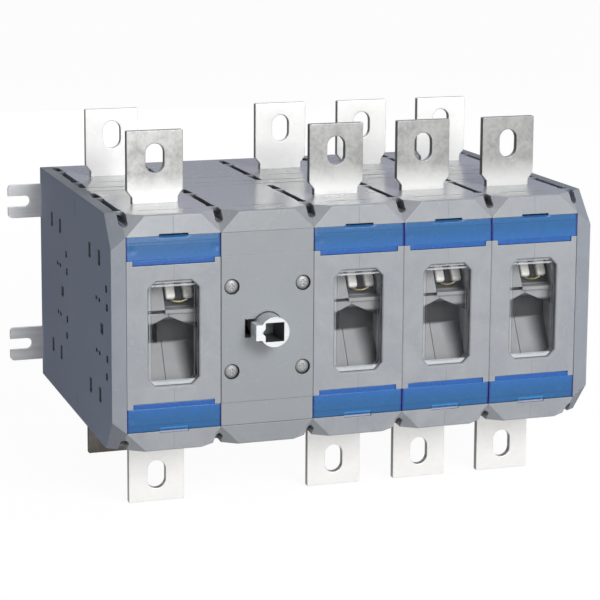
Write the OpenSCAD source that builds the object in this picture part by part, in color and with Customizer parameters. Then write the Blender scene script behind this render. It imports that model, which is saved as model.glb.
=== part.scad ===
// Rotary load break switch: four poles and a drive module, two decks deep.
// Millimetres. +Z up, the front faces -Y, the rear mounting plane is y = 0,
// and the origin is on it, at mid height on the centreline of the whole body.

/* [Modules] */
// Width of one module, a pole or the drive
module_w = 65; // [60:1:80]
// Height of every housing
housing_h = 160; // [150:1:190]
// Depth of the front deck
front_deck_d = 106.5; // [100:0.5:140]
// Depth of the rear deck
rear_deck_d = 121.5; // [115:0.5:150]
// Thickness of each end plate
end_plate_t = 10; // [8:0.5:16]
// Small chamfer on the housings' outer edges
edge_break = 0.6; // [0.3:0.1:1]

/* [Front faces] */
// Height of the leaning panel above and below the upright front
brow_h = 14; // [10:0.5:17]
// How far those panels lean back
front_lean = 2; // [1:0.5:4]
// Chamfer from those panels to the top and bottom
brow_chamfer = 1; // [0.5:0.5:2]
// Width of the slanted cut at a module's upper and lower corners
corner_w = 17; // [12:0.5:20]
// Depth of that cut
corner_d = 12; // [8:0.5:16]

/* [Channels between modules] */
// Width of the open groove along the top and bottom
channel_w = 4.6; // [3:0.2:6]
// Width of the round ends at both sides of a bridge
channel_end_d = 6.6; // [5:0.2:8]
// Diameter of the bore at the foot of the groove
channel_bore_d = 5.5; // [5:0.5:7]
// Depth of that bore's axis below the top
channel_bore_drop = 5.2; // [5:0.2:8]
// Distance from a deck's front to the middle of its first bridge over the groove
first_bridge_at = 22; // [20:0.5:28]
// Distance from a deck's front to the middle of its second bridge
second_bridge_at = 77; // [60:0.5:80]
// Length of each bridge
bridge_l = 2; // [1:0.2:4]
// Solid length in front of the joint between the decks
front_deck_land = 8; // [6:0.5:12]
// Solid length behind that joint
rear_deck_land = 16; // [10:0.5:18]
// Solid length at the back
back_land = 7; // [2:0.5:9]

/* [Moulded lines] */
// Width of the thin grooves that mark joints in the mouldings
line_w = 0.8; // [0.4:0.1:1.5]
// Depth of those grooves
line_d = 0.6; // [0.3:0.1:1]
// Length of the groove across a module's top
top_line_l = 36; // [30:1:44]
// Distance from a deck's front to that groove
top_line_at = 20; // [16:0.5:30]
// Distance from the joint between the decks to the second seam across the top
second_seam_at = 15; // [8:0.5:20]
// Distance from a deck's front to the mark on an end plate
side_line_at = 105.6; // [90:0.2:112]
// Distance from the top edge down to that mark
side_line_drop = 5.5; // [3:0.5:10]
// Length of the mark
side_line_l = 10; // [6:1:20]
// Width of the parting line down the middle of a pole's front
parting_w = 0.3; // [0.2:0.1:0.8]
// Depth of that line
parting_d = 0.15; // [0.1:0.05:0.5]

/* [Window] */
// Clear width of the window
window_w = 35; // [30:1:40]
// Clear height of the window
window_h = 71; // [64:1:76]
// Chamfer across each corner of the window
window_corner = 5; // [3:0.5:8]
// Bevel round the window
window_bevel = 0.8; // [0.4:0.1:2]
// Thickness of the front wall at the window
window_wall = 6; // [5:0.5:8]
// Width of the chamber behind the window
chamber_w = 41; // [38:1:46]
// Height of the chamber
chamber_h = 78; // [74:1:84]
// Depth of the chamber behind the front wall
chamber_d = 33; // [31:1:36]
// Distance from the front face to the clear pane in the window
pane_at = 2.2; // [1:0.1:2.4]
// Thickness of the pane at its rim
pane_t = 1.6; // [1.2:0.1:1.6]
// How far the pane's middle stands out from its rim
pane_step = 1; // [0.5:0.1:1]
// Width of that rim
pane_rim = 2.8; // [2:0.1:4]

/* [Arc chamber inserts] */
// Thickness of the insert's back plate
insert_back_t = 12; // [11:0.5:14]
// Height of the shelf above the middle
shelf_z = 10.8; // [8:0.2:14]
// Thickness of the shelf
shelf_t = 2.4; // [1.6:0.2:4]
// How far the shelf reaches forward of the apron
shelf_nose = 2; // [1:0.5:3]
// Height and depth of the slot left of the shelf
shelf_slot_d = 5; // [3:0.5:8]
// How far the upper face comes forward at its foot
upper_reach = 14; // [11:0.5:15]
// Distance from the front wall to the apron
apron_gap = 8; // [6:0.5:10]
// Thickness of the apron
apron_t = 2; // [1.5:0.5:3]
// Height of the apron at its two sides
apron_side_h = 11.4; // [8:0.2:14]
// Height of the apron at its middle
apron_mid_h = 2; // [1.5:0.5:7]
// Drop of the ramp's upper edge below the middle
ramp_top_drop = 12; // [9:1:16]
// How far the ramp comes forward of the back plate at its foot
ramp_reach = 14; // [10:1:15]
// Distance of the seam down the ramp, left of the middle
ramp_seam_at = 2; // [1:0.5:6]
// Width of the pocket at the left of the back plate
side_pocket_w = 15.5; // [10:0.5:17]
// Depth of that pocket
side_pocket_d = 8; // [4:0.5:9]
// Width of the contact bay at the right of the upper face
contact_bay_w = 23; // [22:0.5:26]
// Depth of the contact bay
contact_bay_d = 8; // [6:0.5:9]

/* [Contact fingers] */
// Width of each contact finger
finger_w = 6.8; // [5:0.1:8]
// Distance between the two fingers' centres
finger_pitch = 12.4; // [10:0.1:13]
// Distance from the right finger to the insert's right side
finger_side_gap = 1.4; // [1:0.1:2]
// Thickness of each finger, front to back
finger_t = 5.5; // [4:0.5:7]
// Height of each finger's tip above the shelf
finger_rise = 5; // [3:0.5:7]

/* [Blue covers] */
// Height of a cover's band
band_h = 16; // [12:1:20]
// Thickness of the band
band_t = 6; // [4:0.5:9]
// Gap at each end of a band
band_gap = 0.3; // [0.2:0.1:1]
// Width of the lip towards the window
lip_w = 55.7; // [48:0.1:58]
// Height of the lip
lip_h = 3.3; // [2:0.1:4]
// Thickness of the lip
lip_t = 1.6; // [1:0.2:2.4]
// Width of the nail notch beyond the band
notch_w = 20; // [14:1:26]
// Height of the nail notch
notch_h = 1.3; // [1:0.1:2]

/* [Terminals] */
// Width of a terminal bar
terminal_w = 39.5; // [34:0.5:44]
// Thickness of a terminal bar
terminal_t = 5; // [4:0.5:8]
// Reach of the bar beyond the housing
terminal_reach = 49.5; // [46:0.5:60]
// Width of the neck that enters the housing
neck_w = 32.2; // [28:0.2:34]
// Height of the bar's shoulder above the housing
shoulder_h = 8.5; // [7:0.5:12]
// Height of the slope from neck to shoulder
shoulder_slope = 4.5; // [3:0.5:6]
// Length of the foot inside the housing
terminal_foot = 22; // [16:1:26]
// Distance of the front bars' middle from the front face
front_terminal_at = 50; // [46:0.5:60]
// Distance of the rear bars' middle from the deck joint
rear_terminal_at = 67.5; // [60:0.5:76]
// Width of the terminal slot
slot_w = 13; // [9:0.5:14]
// Length of the terminal slot
slot_l = 20; // [16:1:24]
// Distance from the bar's end to the slot's middle
slot_from_end = 19; // [15:1:22]

/* [Mechanism] */
// Thickness of the mechanism cover
cover_t = 8; // [6:0.5:12]
// Height of the cover's raised middle
cover_panel_h = 100.4; // [90:0.2:110]
// Step between the raised middle and the bands
cover_step = 0.4; // [0.2:0.1:1.5]
// Distance between the cover screws, across
screw_pitch_x = 50; // [44:1:52]
// Distance between the cover screws, up and down
screw_pitch_z = 58; // [50:1:70]
// Diameter of a screw head
screw_head_d = 9; // [8:0.2:9.8]
// Height of a screw head
screw_head_h = 3; // [2:0.5:4]
// Diameter of the recess round a screw head
screw_recess_d = 10.6; // [10:0.2:13]
// Diameter of a screw's shank
screw_shank_d = 4.5; // [4:0.5:6]
// Depth of a screw's shank in the housing
screw_grip = 10; // [8:1:14]
// Width across the corners of a screw's hexagon drive
screw_drive_d = 4.6; // [3:0.2:5]

/* [Drive shaft] */
// Outer diameter of the shaft coupling
coupling_d = 20.5; // [19.5:0.5:26]
// How far the coupling stands out of the cover
coupling_out = 16; // [12:1:24]
// How far the coupling reaches into the housing
coupling_in = 6; // [4:1:12]
// Diameter of the journal behind the coupling
journal_d = 12; // [10:0.5:16]
// Length of that journal
journal_l = 20; // [14:1:30]
// Width of the square socket
socket_w = 13; // [11:0.1:13.6]
// Depth of the square socket
socket_d = 24; // [18:1:28]
// Depth of the V groove along the socket's left side
key_groove_d = 2.5; // [1:0.1:3]
// Reach of the side boss from the shaft's axis
boss_reach = 13; // [12:0.5:18]
// Height of the side boss
boss_h = 10.6; // [9:0.2:12]
// Gap between the side boss and the cover
boss_gap = 3.6; // [1.5:0.1:6]
// Diameter of the set screw in the boss
set_screw_d = 5; // [4:0.5:6]
// Clearance round the coupling
shaft_clearance = 0.3; // [0.2:0.1:0.5]
// Running clearance round the journal
journal_clearance = 0.1; // [0.05:0.01:0.15]
// Reach of the opening beside the shaft, from its axis
side_slot_reach = 16; // [15:0.5:20]
// Height of that opening
side_slot_h = 12.5; // [12:0.5:15]
// Depth of that opening in the housing
side_slot_in = 12; // [7:1:20]

/* [Mounting rails] */
// Height of a rail
rail_h = 25.2; // [20:0.2:30]
// Thickness of a rail
rail_t = 3; // [2.5:0.5:5]
// Height of each rail's middle above or below the centre
rail_z = 55; // [45:1:60]
// How far a rail stands out past each end plate
rail_out = 25.1; // [20:0.1:34]
// Width of the open slot in a rail's end
rail_slot_w = 8.5; // [6:0.5:11]
// Depth of that slot, to the middle of its round end
rail_slot_d = 12.4; // [8:0.1:16]
// Corner radius of a rail
rail_corner_r = 3; // [1:0.5:5]

/* [End plate holes] */
// Depth of the moulded holes
hole_depth = 8; // [3:0.5:8.5]
// Depth of the shallow ones
shallow_depth = 1.5; // [0.5:0.5:4]
// Width of the tall holes
tall_hole_w = 6.5; // [3:0.5:8]
// Height of the tall holes
tall_hole_h = 10.5; // [8:0.5:13]
// Distance of the first tall holes from a deck's front
tall_hole_1_at = 34; // [30:0.5:38]
// Height of the first tall holes above and below the middle
tall_hole_1_z = 47; // [42:0.2:52]
// Distance of the second tall holes from a deck's front
tall_hole_2_at = 62.4; // [55:0.2:66]
// Height of the second tall holes
tall_hole_2_z = 47.3; // [42:0.1:52]
// Side of the small holes
small_hole_w = 5; // [3:0.2:6]
// Distance of the outer small holes, which are shallow, from a deck's front
small_hole_1_at = 14; // [9:0.2:17]
// Height of the outer small holes
small_hole_1_z = 29.8; // [27:0.2:36]
// Distance of the inner small holes from a deck's front
small_hole_2_at = 12.3; // [8:0.1:16]
// Height of the inner small holes
small_hole_2_z = 17.4; // [12:0.2:20]
// Width of the catch holes
catch_hole_w = 4.6; // [3:0.2:6]
// Height of the catch holes
catch_hole_h = 2.8; // [2:0.2:4]
// Distance of the front catch holes from a deck's front
catch_hole_1_at = 34.4; // [32:0.2:37]
// Distance of the rear catch holes from a deck's front
catch_hole_2_at = 43; // [41:0.5:47]
// Distance of the catch holes above and below the middle
catch_hole_z = 18.2; // [12:0.2:22]
// Distance of the middle hole from a deck's front
middle_hole_at = 27.5; // [24:0.5:30]
// Width of the middle hole
middle_hole_w = 8; // [5:0.5:10]
// Height of the middle hole
middle_hole_h = 7.5; // [5:0.5:9]

/* [Fits] */
// Clearance round fixed pieces that are let into a housing
fit = 0.15; // [0.1:0.05:0.3]

/* [Hidden] */
$fn = 64;
POLES = [1, 2, 3, 4];
// Module places from left to right: the drive is the second of five.
pole_slot = [0, 2, 3, 4];
drive_slot = 1;
module_count = 5;
body_w = module_count * module_w;
total_d = front_deck_d + rear_deck_d;
half_h = housing_h / 2;
flat_z = half_h - brow_h;
flat_h = 2 * flat_z;
brow_lean = atan(front_lean / (brow_h - brow_chamfer));
front_y = -total_d;
deck_y = -rear_deck_d;
// Terminal planes, bored and slotted parts
front_terminal_y = front_y + front_terminal_at;
rear_terminal_y = deck_y + rear_terminal_at;
terminal_end = half_h + terminal_reach;
slot_z = terminal_end - slot_from_end;
// The second deck repeats the first one's holes, grooves and lines at the terminals' pitch.
deck_pitch = rear_terminal_y - front_terminal_y;
repeat_y = front_y + deck_pitch;
chamber_back_y = front_y + window_wall + chamber_d;
insert_w = chamber_w - 2 * fit;
insert_h = chamber_h - 2 * fit;
insert_face_y = chamber_back_y - insert_back_t;
apron_y = front_y + window_wall + apron_gap;
shelf_top = shelf_z + shelf_t;
// The upper face leans back from its foot on the shelf to the insert's top.
upper_foot_y = insert_face_y - upper_reach;
upper_lean = atan(upper_reach / (insert_h / 2 - shelf_top));
// The contact bay lies against the insert's right side.
bay_x = insert_w / 2 - contact_bay_w;
right_finger_x = insert_w / 2 - finger_side_gap - finger_w / 2;
cover_back_y = front_y + cover_t;
drive_x = module_x(drive_slot);
coupling_back_y = cover_back_y + coupling_in;
long = 2 * (total_d + body_w);
// How far a cut runs past the face that it opens
over = 1;
sliver = 0.01;
// Paired moulded holes of one deck: distance from the deck's front, height above and below
// the middle, width, height, depth
end_holes = [
    [tall_hole_1_at, tall_hole_1_z, tall_hole_w, tall_hole_h, hole_depth],
    [tall_hole_2_at, tall_hole_2_z, tall_hole_w, tall_hole_h, hole_depth],
    [small_hole_1_at, small_hole_1_z, small_hole_w, small_hole_w, shallow_depth],
    [small_hole_2_at, small_hole_2_z, small_hole_w, small_hole_w, hole_depth],
    [catch_hole_1_at, catch_hole_z, catch_hole_w, catch_hole_h, hole_depth],
    [catch_hole_2_at, catch_hole_z, catch_hole_w, catch_hole_h, hole_depth],
];

function module_x(slot) = (slot - (module_count - 1) / 2) * module_w;
function pole_x(pole) = module_x(pole_slot[pole - 1]);

// A block centred on x and z that runs from y0 to y1.
module block(w, y0, y1, h) {
    translate([-w / 2, y0, -h / 2]) cube([w, y1 - y0, h]);
}

// Moves its children to both the top and the bottom.
module top_and_bottom() {
    children();
    mirror([0, 0, 1]) children();
}

// Moves its children to both the left and the right.
module left_and_right() {
    children();
    mirror([1, 0, 0]) children();
}

// A round bore or pin along y.
module y_cylinder(d, y0, y1) {
    translate([0, y1, 0]) rotate([90, 0, 0]) cylinder(d = d, h = y1 - y0);
}

// Outline of the whole body seen from the side, y to the right and z up,
// cut down to the stretch from y0 to y1.
module side_outline(y0, y1) {
    lean_z = half_h - brow_chamfer;
    intersection() {
        polygon([
            [front_y, -flat_z], [front_y, flat_z],
            [front_y + front_lean, lean_z],
            [front_y + front_lean + brow_chamfer, half_h],
            [0, half_h], [0, -half_h],
            [front_y + front_lean + brow_chamfer, -half_h],
            [front_y + front_lean, -lean_z],
        ]);
        polygon([
            [y0, half_h - edge_break], [y0 + edge_break, half_h],
            [y1 - edge_break, half_h], [y1, half_h - edge_break],
            [y1, edge_break - half_h], [y1 - edge_break, -half_h],
            [y0 + edge_break, -half_h], [y0, edge_break - half_h],
        ]);
    }
}

// Carries an outline drawn in y and z along x, from x0 to x1.
module along_x(x0, x1) {
    multmatrix([[0, 0, 1, x0], [1, 0, 0, 0], [0, 1, 0, 0], [0, 0, 0, 1]])
        linear_extrude(x1 - x0) children();
}

// Carries an outline drawn in x and z along y, from y0 to y1.
module along_y(y0, y1) {
    translate([0, y1, 0]) rotate([90, 0, 0]) linear_extrude(y1 - y0) children();
}

// The side outline made w wide, centred on x.
module slab(w, y0, y1) {
    along_x(-w / 2, w / 2) side_outline(y0, y1);
}

// Takes the small chamfers off a block's four upright edges.
module upright_edge_breaks(w, y0, y1) {
    side = sqrt(2) * edge_break;
    for (y = [y0, y1])
        left_and_right()
            translate([w / 2, y, 0]) rotate(45) cube([side, side, long], center = true);
}

// The slanted cut at a module's upper right front corner, x being the module's edge. Its
// face passes that edge where the front begins to lean.
module corner_cut(x) {
    across = brow_h / corner_w;
    along = brow_h / corner_d;
    size = housing_h / 2;
    translate([x, front_y, flat_z])
        rotate([0, atan(norm([across, along])), -atan2(along, across)])
            translate([-size / 2, -size / 2, 0]) cube(size);
}

// The bore at the foot of the groove, at a module's right edge on the top.
module channel_bore(x, y0, y1) {
    translate([x, 0, half_h - channel_bore_drop]) y_cylinder(channel_bore_d, y0, y1);
}

// A round hole's outline whose opening on one side narrows down to a rounded end.
module tapered_slot(y_narrow, y_wide) {
    w0 = channel_w / 2;
    w1 = 0.45 * channel_end_d;
    translate([0, y_narrow]) circle(d = channel_w);
    translate([0, y_wide]) circle(d = channel_end_d);
    polygon([[-w0, y_narrow], [w0, y_narrow], [w1, y_wide], [-w1, y_wide]]);
}

// Outline, seen from above, of the openings over that bore along one deck, whose front is at
// y_deck. They run from y0 to y1, with two bridges between them.
module channel_outline(y_deck, y0, y1) {
    end_at = (bridge_l + channel_end_d) / 2;
    first_y = y_deck + first_bridge_at;
    second_y = y_deck + second_bridge_at;
    tapered_slot(y0 + channel_w / 2, first_y - end_at);
    translate([-channel_w / 2, first_y + end_at])
        square([channel_w, second_y - first_y - 2 * end_at]);
    for (y = [first_y + end_at, second_y - end_at]) translate([0, y]) circle(d = channel_end_d);
    tapered_slot(y1 - channel_w / 2, second_y + end_at);
}

module channel_groove(x, y_deck, y0, y1) {
    translate([x, 0, half_h - channel_bore_drop]) linear_extrude(channel_bore_drop + over)
        channel_outline(y_deck, y0, y1);
}

module front_channels(x) {
    channel_bore(x, front_y - over, deck_y + over);
    channel_groove(x, front_y, front_y - channel_w, deck_y - front_deck_land);
}

module rear_channels(x) {
    channel_bore(x, deck_y - over, over);
    channel_groove(x, repeat_y, deck_y + rear_deck_land, -back_land);
}

// A thin groove across the top, w wide, whose front edge is at y.
module top_line(w, y) {
    translate([0, 0, half_h]) block(w, y, y + line_w, 2 * line_d);
}

// The pocket that a terminal's foot stands in, at the top.
module terminal_pocket(y) {
    w = neck_w + 2 * fit;
    t = terminal_t + 2 * fit;
    translate([-w / 2, y - t / 2, half_h - terminal_foot]) cube([w, t, terminal_foot + over]);
}

// A front deck housing without its window or drive openings.
module front_block() {
    difference() {
        slab(module_w, front_y, deck_y);
        upright_edge_breaks(module_w, front_y, deck_y);
        top_and_bottom() {
            left_and_right() {
                corner_cut(module_w / 2);
                front_channels(module_w / 2);
            }
            top_line(top_line_l, front_y + top_line_at);
        }
    }
}

// A rear deck housing without its terminal pockets.
module rear_block() {
    difference() {
        slab(module_w, deck_y, 0);
        upright_edge_breaks(module_w, deck_y, 0);
        top_and_bottom() {
            left_and_right() rear_channels(module_w / 2);
            top_line(module_w + 2 * over, deck_y + second_seam_at);
            top_line(top_line_l, repeat_y + top_line_at);
            rail_pocket(module_w + 2 * over);
        }
    }
}

// The recess that lets a rail in flush with the back.
module rail_pocket(w) {
    translate([0, 0, rail_z]) block(w, -rail_t, over, rail_h + 2 * fit);
}

// The window's outline, grown by e on every side.
module window_outline(e) {
    w = window_w / 2 + e;
    h = window_h / 2 + e;
    c = window_corner + e * (2 - sqrt(2));
    polygon([
        [-w, c - h], [-w, h - c], [c - w, h], [w - c, h],
        [w, h - c], [w, c - h], [w - c, -h], [c - w, -h],
    ]);
}

// The window through the front wall, with its bevel and the chamber behind.
module window_and_chamber() {
    along_y(front_y - over, front_y + window_wall + over) window_outline(0);
    hull() {
        along_y(front_y - sliver, front_y) window_outline(window_bevel);
        along_y(front_y + window_bevel, front_y + window_bevel + sliver) window_outline(0);
    }
    block(chamber_w, front_y + window_wall, chamber_back_y, chamber_h);
}

// The clear pane in a window, with its raised middle.
module window_pane() {
    rim_y = front_y + pane_at + pane_step;
    along_y(rim_y, rim_y + pane_t) window_outline(-fit);
    along_y(front_y + pane_at, rim_y + sliver) window_outline(-pane_rim);
}

module window_panes() {
    color("lightcyan", 0.4) for (pole = POLES) translate([pole_x(pole), 0, 0]) window_pane();
}

// The parting line down the middle of a pole's front and of its upper leaning panel.
module parting_lines() {
    block(parting_w, front_y - over, front_y + parting_d, flat_h);
    top_and_bottom() translate([-parting_w / 2, front_y, flat_z]) rotate([-brow_lean, 0, 0])
        translate([0, -over, 0]) cube([parting_w, over + parting_d, brow_h]);
}

// The seat of a blue cover at the top, with the nail notch beyond it.
module band_seat() {
    translate([0, 0, flat_z - band_h / 2])
        block(module_w + 2 * over, front_y - over, front_y + band_t, band_h);
    translate([0, 0, flat_z - band_h - lip_h / 2])
        block(lip_w + 2 * fit, front_y - over, front_y + lip_t, lip_h + 2 * fit);
    translate([0, 0, flat_z + notch_h / 2])
        block(notch_w, front_y - over, front_y + band_t, notch_h + sliver);
}

module front_pole_housing(pole) {
    color("lightslategray") translate([pole_x(pole), 0, 0]) difference() {
        front_block();
        window_and_chamber();
        parting_lines();
        top_and_bottom() {
            band_seat();
            terminal_pocket(front_terminal_y);
        }
    }
}

module rear_pole_housing(pole) {
    color("lightslategray") translate([pole_x(pole), 0, 0]) difference() {
        rear_block();
        top_and_bottom() terminal_pocket(rear_terminal_y);
    }
}

// Places its children at the four cover screws.
module at_cover_screws() {
    for (x = [-1, 1], z = [-1, 1])
        translate([x * screw_pitch_x / 2, 0, z * screw_pitch_z / 2]) children();
}

// The opening beside the shaft, to the left of its axis.
module side_slot(y0, y1) {
    translate([-side_slot_reach, y0, -side_slot_h / 2])
        cube([side_slot_reach, y1 - y0, side_slot_h]);
}

module front_mechanism_housing() {
    color("slategray") translate([drive_x, 0, 0]) difference() {
        front_block();
        block(module_w + 2 * over, front_y - over, cover_back_y, flat_h);
        y_cylinder(coupling_d + 2 * shaft_clearance, cover_back_y - over,
            coupling_back_y + shaft_clearance);
        y_cylinder(journal_d + 2 * journal_clearance, cover_back_y,
            coupling_back_y + journal_l + shaft_clearance);
        side_slot(cover_back_y - over, cover_back_y + side_slot_in);
        at_cover_screws() y_cylinder(screw_shank_d + 2 * fit, cover_back_y - over,
            cover_back_y + screw_grip + over);
    }
}

module rear_mechanism_housing() {
    color("slategray") translate([drive_x, 0, 0]) rear_block();
}

module mechanism_cover() {
    color("gray") translate([drive_x, 0, 0]) difference() {
        union() {
            block(module_w - 2 * fit, front_y + cover_step, cover_back_y, flat_h - 2 * fit);
            block(module_w - 2 * fit, front_y, cover_back_y, cover_panel_h);
        }
        y_cylinder(coupling_d + 4 * shaft_clearance, front_y - over, cover_back_y + over);
        side_slot(front_y - over, cover_back_y + over);
        at_cover_screws() {
            y_cylinder(screw_recess_d, front_y - over, front_y + screw_head_h);
            y_cylinder(screw_shank_d + 2 * fit, front_y, cover_back_y + over);
        }
    }
}

module cover_screws() {
    color("silver") translate([drive_x, 0, 0]) at_cover_screws() difference() {
        union() {
            y_cylinder(screw_head_d, front_y, front_y + screw_head_h);
            y_cylinder(screw_shank_d, front_y, cover_back_y + screw_grip);
        }
        translate([0, front_y + screw_head_h / 2, 0]) rotate([90, 0, 0])
            cylinder(d = screw_drive_d, h = screw_head_h, $fn = 6);
    }
}

// The shaft coupling: a round sleeve with a square socket and a V groove along the socket's
// left side, a side boss and a journal.
module drive_shaft() {
    out_y = front_y - coupling_out;
    color("gainsboro") translate([drive_x, 0, 0]) difference() {
        union() {
            y_cylinder(coupling_d, out_y, coupling_back_y);
            y_cylinder(journal_d, out_y + socket_d + over, coupling_back_y + journal_l);
            translate([-boss_reach, out_y, -boss_h / 2])
                cube([boss_reach, coupling_out - boss_gap, boss_h]);
        }
        block(socket_w, out_y - over, out_y + socket_d, socket_w);
        translate([-socket_w / 2, 0, 0]) rotate([0, 45, 0])
            block(sqrt(2) * key_groove_d, out_y - over, out_y + socket_d, sqrt(2) * key_groove_d);
        set_screw_line(set_screw_d + 2 * fit, boss_reach + over);
    }
}

// A round bar along x from the socket's left side out to the given reach.
module set_screw_line(d, reach) {
    x0 = socket_w / 2 - over;
    translate([-reach, front_y - boss_gap - (coupling_out - boss_gap) / 2, 0])
        rotate([0, 90, 0]) cylinder(d = d, h = reach - x0);
}

module set_screw() {
    color("silver") translate([drive_x, 0, 0]) intersection() {
        set_screw_line(set_screw_d, boss_reach);
        translate([-boss_reach - socket_w / 2 - fit, 0, 0])
            block(2 * boss_reach, front_y - coupling_out, front_y, boss_h);
    }
}

module end_plate() {
    difference() {
        slab(end_plate_t, front_y, 0);
        translate([end_plate_t / 2, 0, 0]) {
            top_and_bottom() {
                // The neighbouring module's corner cut runs on across the plate.
                mirror([1, 0, 0]) corner_cut(0);
                front_channels(0);
                rear_channels(0);
                rail_pocket(3 * end_plate_t);
                translate([-end_plate_t - over, front_y + side_line_at,
                    half_h - side_line_drop - side_line_l])
                    cube([over + line_d, line_w, side_line_l]);
            }
            for (y_deck = [front_y, repeat_y]) translate([-end_plate_t, y_deck, 0]) {
                for (h = end_holes) top_and_bottom()
                    translate([0, h[0], h[1]]) cube([2 * h[4], h[2], h[3]], center = true);
                translate([0, middle_hole_at, 0])
                    cube([2 * hole_depth, middle_hole_w, middle_hole_h], center = true);
            }
        }
    }
}

module left_end_plate() {
    color("dimgray") translate([-(body_w + end_plate_t) / 2, 0, 0]) end_plate();
}

module right_end_plate() {
    color("dimgray") mirror([1, 0, 0]) translate([-(body_w + end_plate_t) / 2, 0, 0]) end_plate();
}

module blue_cover(pole) {
    color("royalblue") translate([pole_x(pole), 0, 0]) {
        translate([0, 0, flat_z - band_h / 2])
            block(module_w - 2 * band_gap, front_y, front_y + band_t, band_h);
        translate([0, 0, flat_z - band_h - lip_h / 2])
            block(lip_w, front_y, front_y + lip_t, lip_h + sliver);
    }
}

module upper_blue_cover(pole) {
    blue_cover(pole);
}

module lower_blue_cover(pole) {
    mirror([0, 0, 1]) blue_cover(pole);
}

// Outline of a terminal bar that stands up, x to the right and z up.
module terminal_outline() {
    difference() {
        polygon([
            [-neck_w / 2, half_h - terminal_foot], [neck_w / 2, half_h - terminal_foot],
            [neck_w / 2, half_h + shoulder_h - shoulder_slope],
            [terminal_w / 2, half_h + shoulder_h],
            [terminal_w / 2, terminal_end], [-terminal_w / 2, terminal_end],
            [-terminal_w / 2, half_h + shoulder_h],
            [-neck_w / 2, half_h + shoulder_h - shoulder_slope],
        ]);
        translate([0, slot_z]) slot_outline();
    }
}

// A slot with round ends, long in its second direction.
module slot_outline() {
    straight = slot_l - slot_w;
    square([slot_w, straight], center = true);
    for (s = [-1, 1]) translate([0, s * straight / 2]) circle(d = slot_w);
}

module terminal(pole, y) {
    color("lightgray") translate([pole_x(pole), 0, 0])
        along_y(y - terminal_t / 2, y + terminal_t / 2) terminal_outline();
}

module upper_terminal(pole, y) {
    terminal(pole, y);
}

module lower_terminal(pole, y) {
    mirror([0, 0, 1]) terminal(pole, y);
}

// The apron's outline: a gable that hangs from the shelf, with a slit at its apex.
module apron_outline() {
    difference() {
        polygon([
            [-insert_w / 2, shelf_z + sliver], [insert_w / 2, shelf_z + sliver],
            [insert_w / 2, shelf_z - apron_side_h], [0, shelf_z - apron_mid_h],
            [-insert_w / 2, shelf_z - apron_side_h],
        ]);
        translate([-parting_w / 2, shelf_z - apron_side_h]) square([parting_w, apron_side_h - parting_w]);
    }
}

// The moulded piece behind a window: back plate, leaning upper face with the contact bay,
// shelf, gabled apron and ramp.
module arc_chamber_insert() {
    left_x = -insert_w / 2;
    right_x = insert_w / 2;
    top_z = insert_h / 2;
    difference() {
        union() {
            block(insert_w, insert_face_y, chamber_back_y, insert_h);
            along_x(left_x, right_x) polygon([
                [insert_face_y + sliver, shelf_top], [upper_foot_y, shelf_top],
                [insert_face_y, top_z], [insert_face_y + sliver, top_z],
            ]);
            along_x(left_x, right_x) polygon([
                [insert_face_y + sliver, -ramp_top_drop], [insert_face_y, -ramp_top_drop],
                [insert_face_y - ramp_reach, -top_z], [insert_face_y + sliver, -top_z],
            ]);
        }
        along_x(bay_x, right_x + over) polygon([
            [upper_foot_y - over, shelf_top], [upper_foot_y + contact_bay_d, shelf_top],
            [insert_face_y + contact_bay_d, top_z], [insert_face_y + contact_bay_d, top_z + over],
            [insert_face_y - over, top_z + over], [insert_face_y - over, top_z],
        ]);
        translate([left_x - over, insert_face_y - over, -ramp_top_drop])
            cube([side_pocket_w + over, side_pocket_d + over, ramp_top_drop + shelf_z]);
        ramp_seam();
    }
    translate([bay_x, apron_y - shelf_nose, shelf_z])
        cube([contact_bay_w, insert_face_y - apron_y + shelf_nose + sliver, shelf_t + sliver]);
    translate([left_x, upper_foot_y + shelf_slot_d, shelf_z])
        cube([insert_w, insert_face_y - upper_foot_y - shelf_slot_d + sliver, shelf_t + sliver]);
    along_y(apron_y, apron_y + apron_t) apron_outline();
}

// The groove down the ramp's face.
module ramp_seam() {
    top_z = insert_h / 2;
    translate([-ramp_seam_at, 0, 0]) along_x(-line_w / 2, line_w / 2) polygon([
        [insert_face_y + line_d, over - ramp_top_drop], [insert_face_y - over, over - ramp_top_drop],
        [insert_face_y - ramp_reach - over, -top_z - over],
        [insert_face_y - ramp_reach + line_d, -top_z - over],
        [insert_face_y - ramp_reach + line_d, -top_z], [insert_face_y + line_d, -ramp_top_drop],
    ]);
}

module arc_chamber_inserts() {
    color("darkgray") for (pole = POLES)
        translate([pole_x(pole), 0, 0]) arc_chamber_insert();
}

// Outline of a contact finger in y and z: a bar that leans with the upper face, seated on
// the bay's back, with a round tip.
module finger_outline() {
    r = finger_t * cos(upper_lean) / 2;
    tip_z = shelf_top + finger_rise + r;
    tip_y = upper_foot_y + contact_bay_d - finger_t / 2 + (tip_z - shelf_top) * tan(upper_lean);
    top_y = insert_face_y + contact_bay_d;
    translate([tip_y, tip_z]) circle(r = r);
    polygon([
        [tip_y - r * cos(upper_lean), tip_z + r * sin(upper_lean)],
        [tip_y + r * cos(upper_lean), tip_z - r * sin(upper_lean)],
        [top_y, insert_h / 2], [top_y - finger_t, insert_h / 2],
    ]);
}

// The fixed contacts: two fingers behind each window.
module contact_fingers() {
    color("silver") for (pole = POLES, finger = [0, 1])
        translate([pole_x(pole) + right_finger_x - finger * finger_pitch, 0, 0])
            along_x(-finger_w / 2, finger_w / 2) finger_outline();
}

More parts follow.
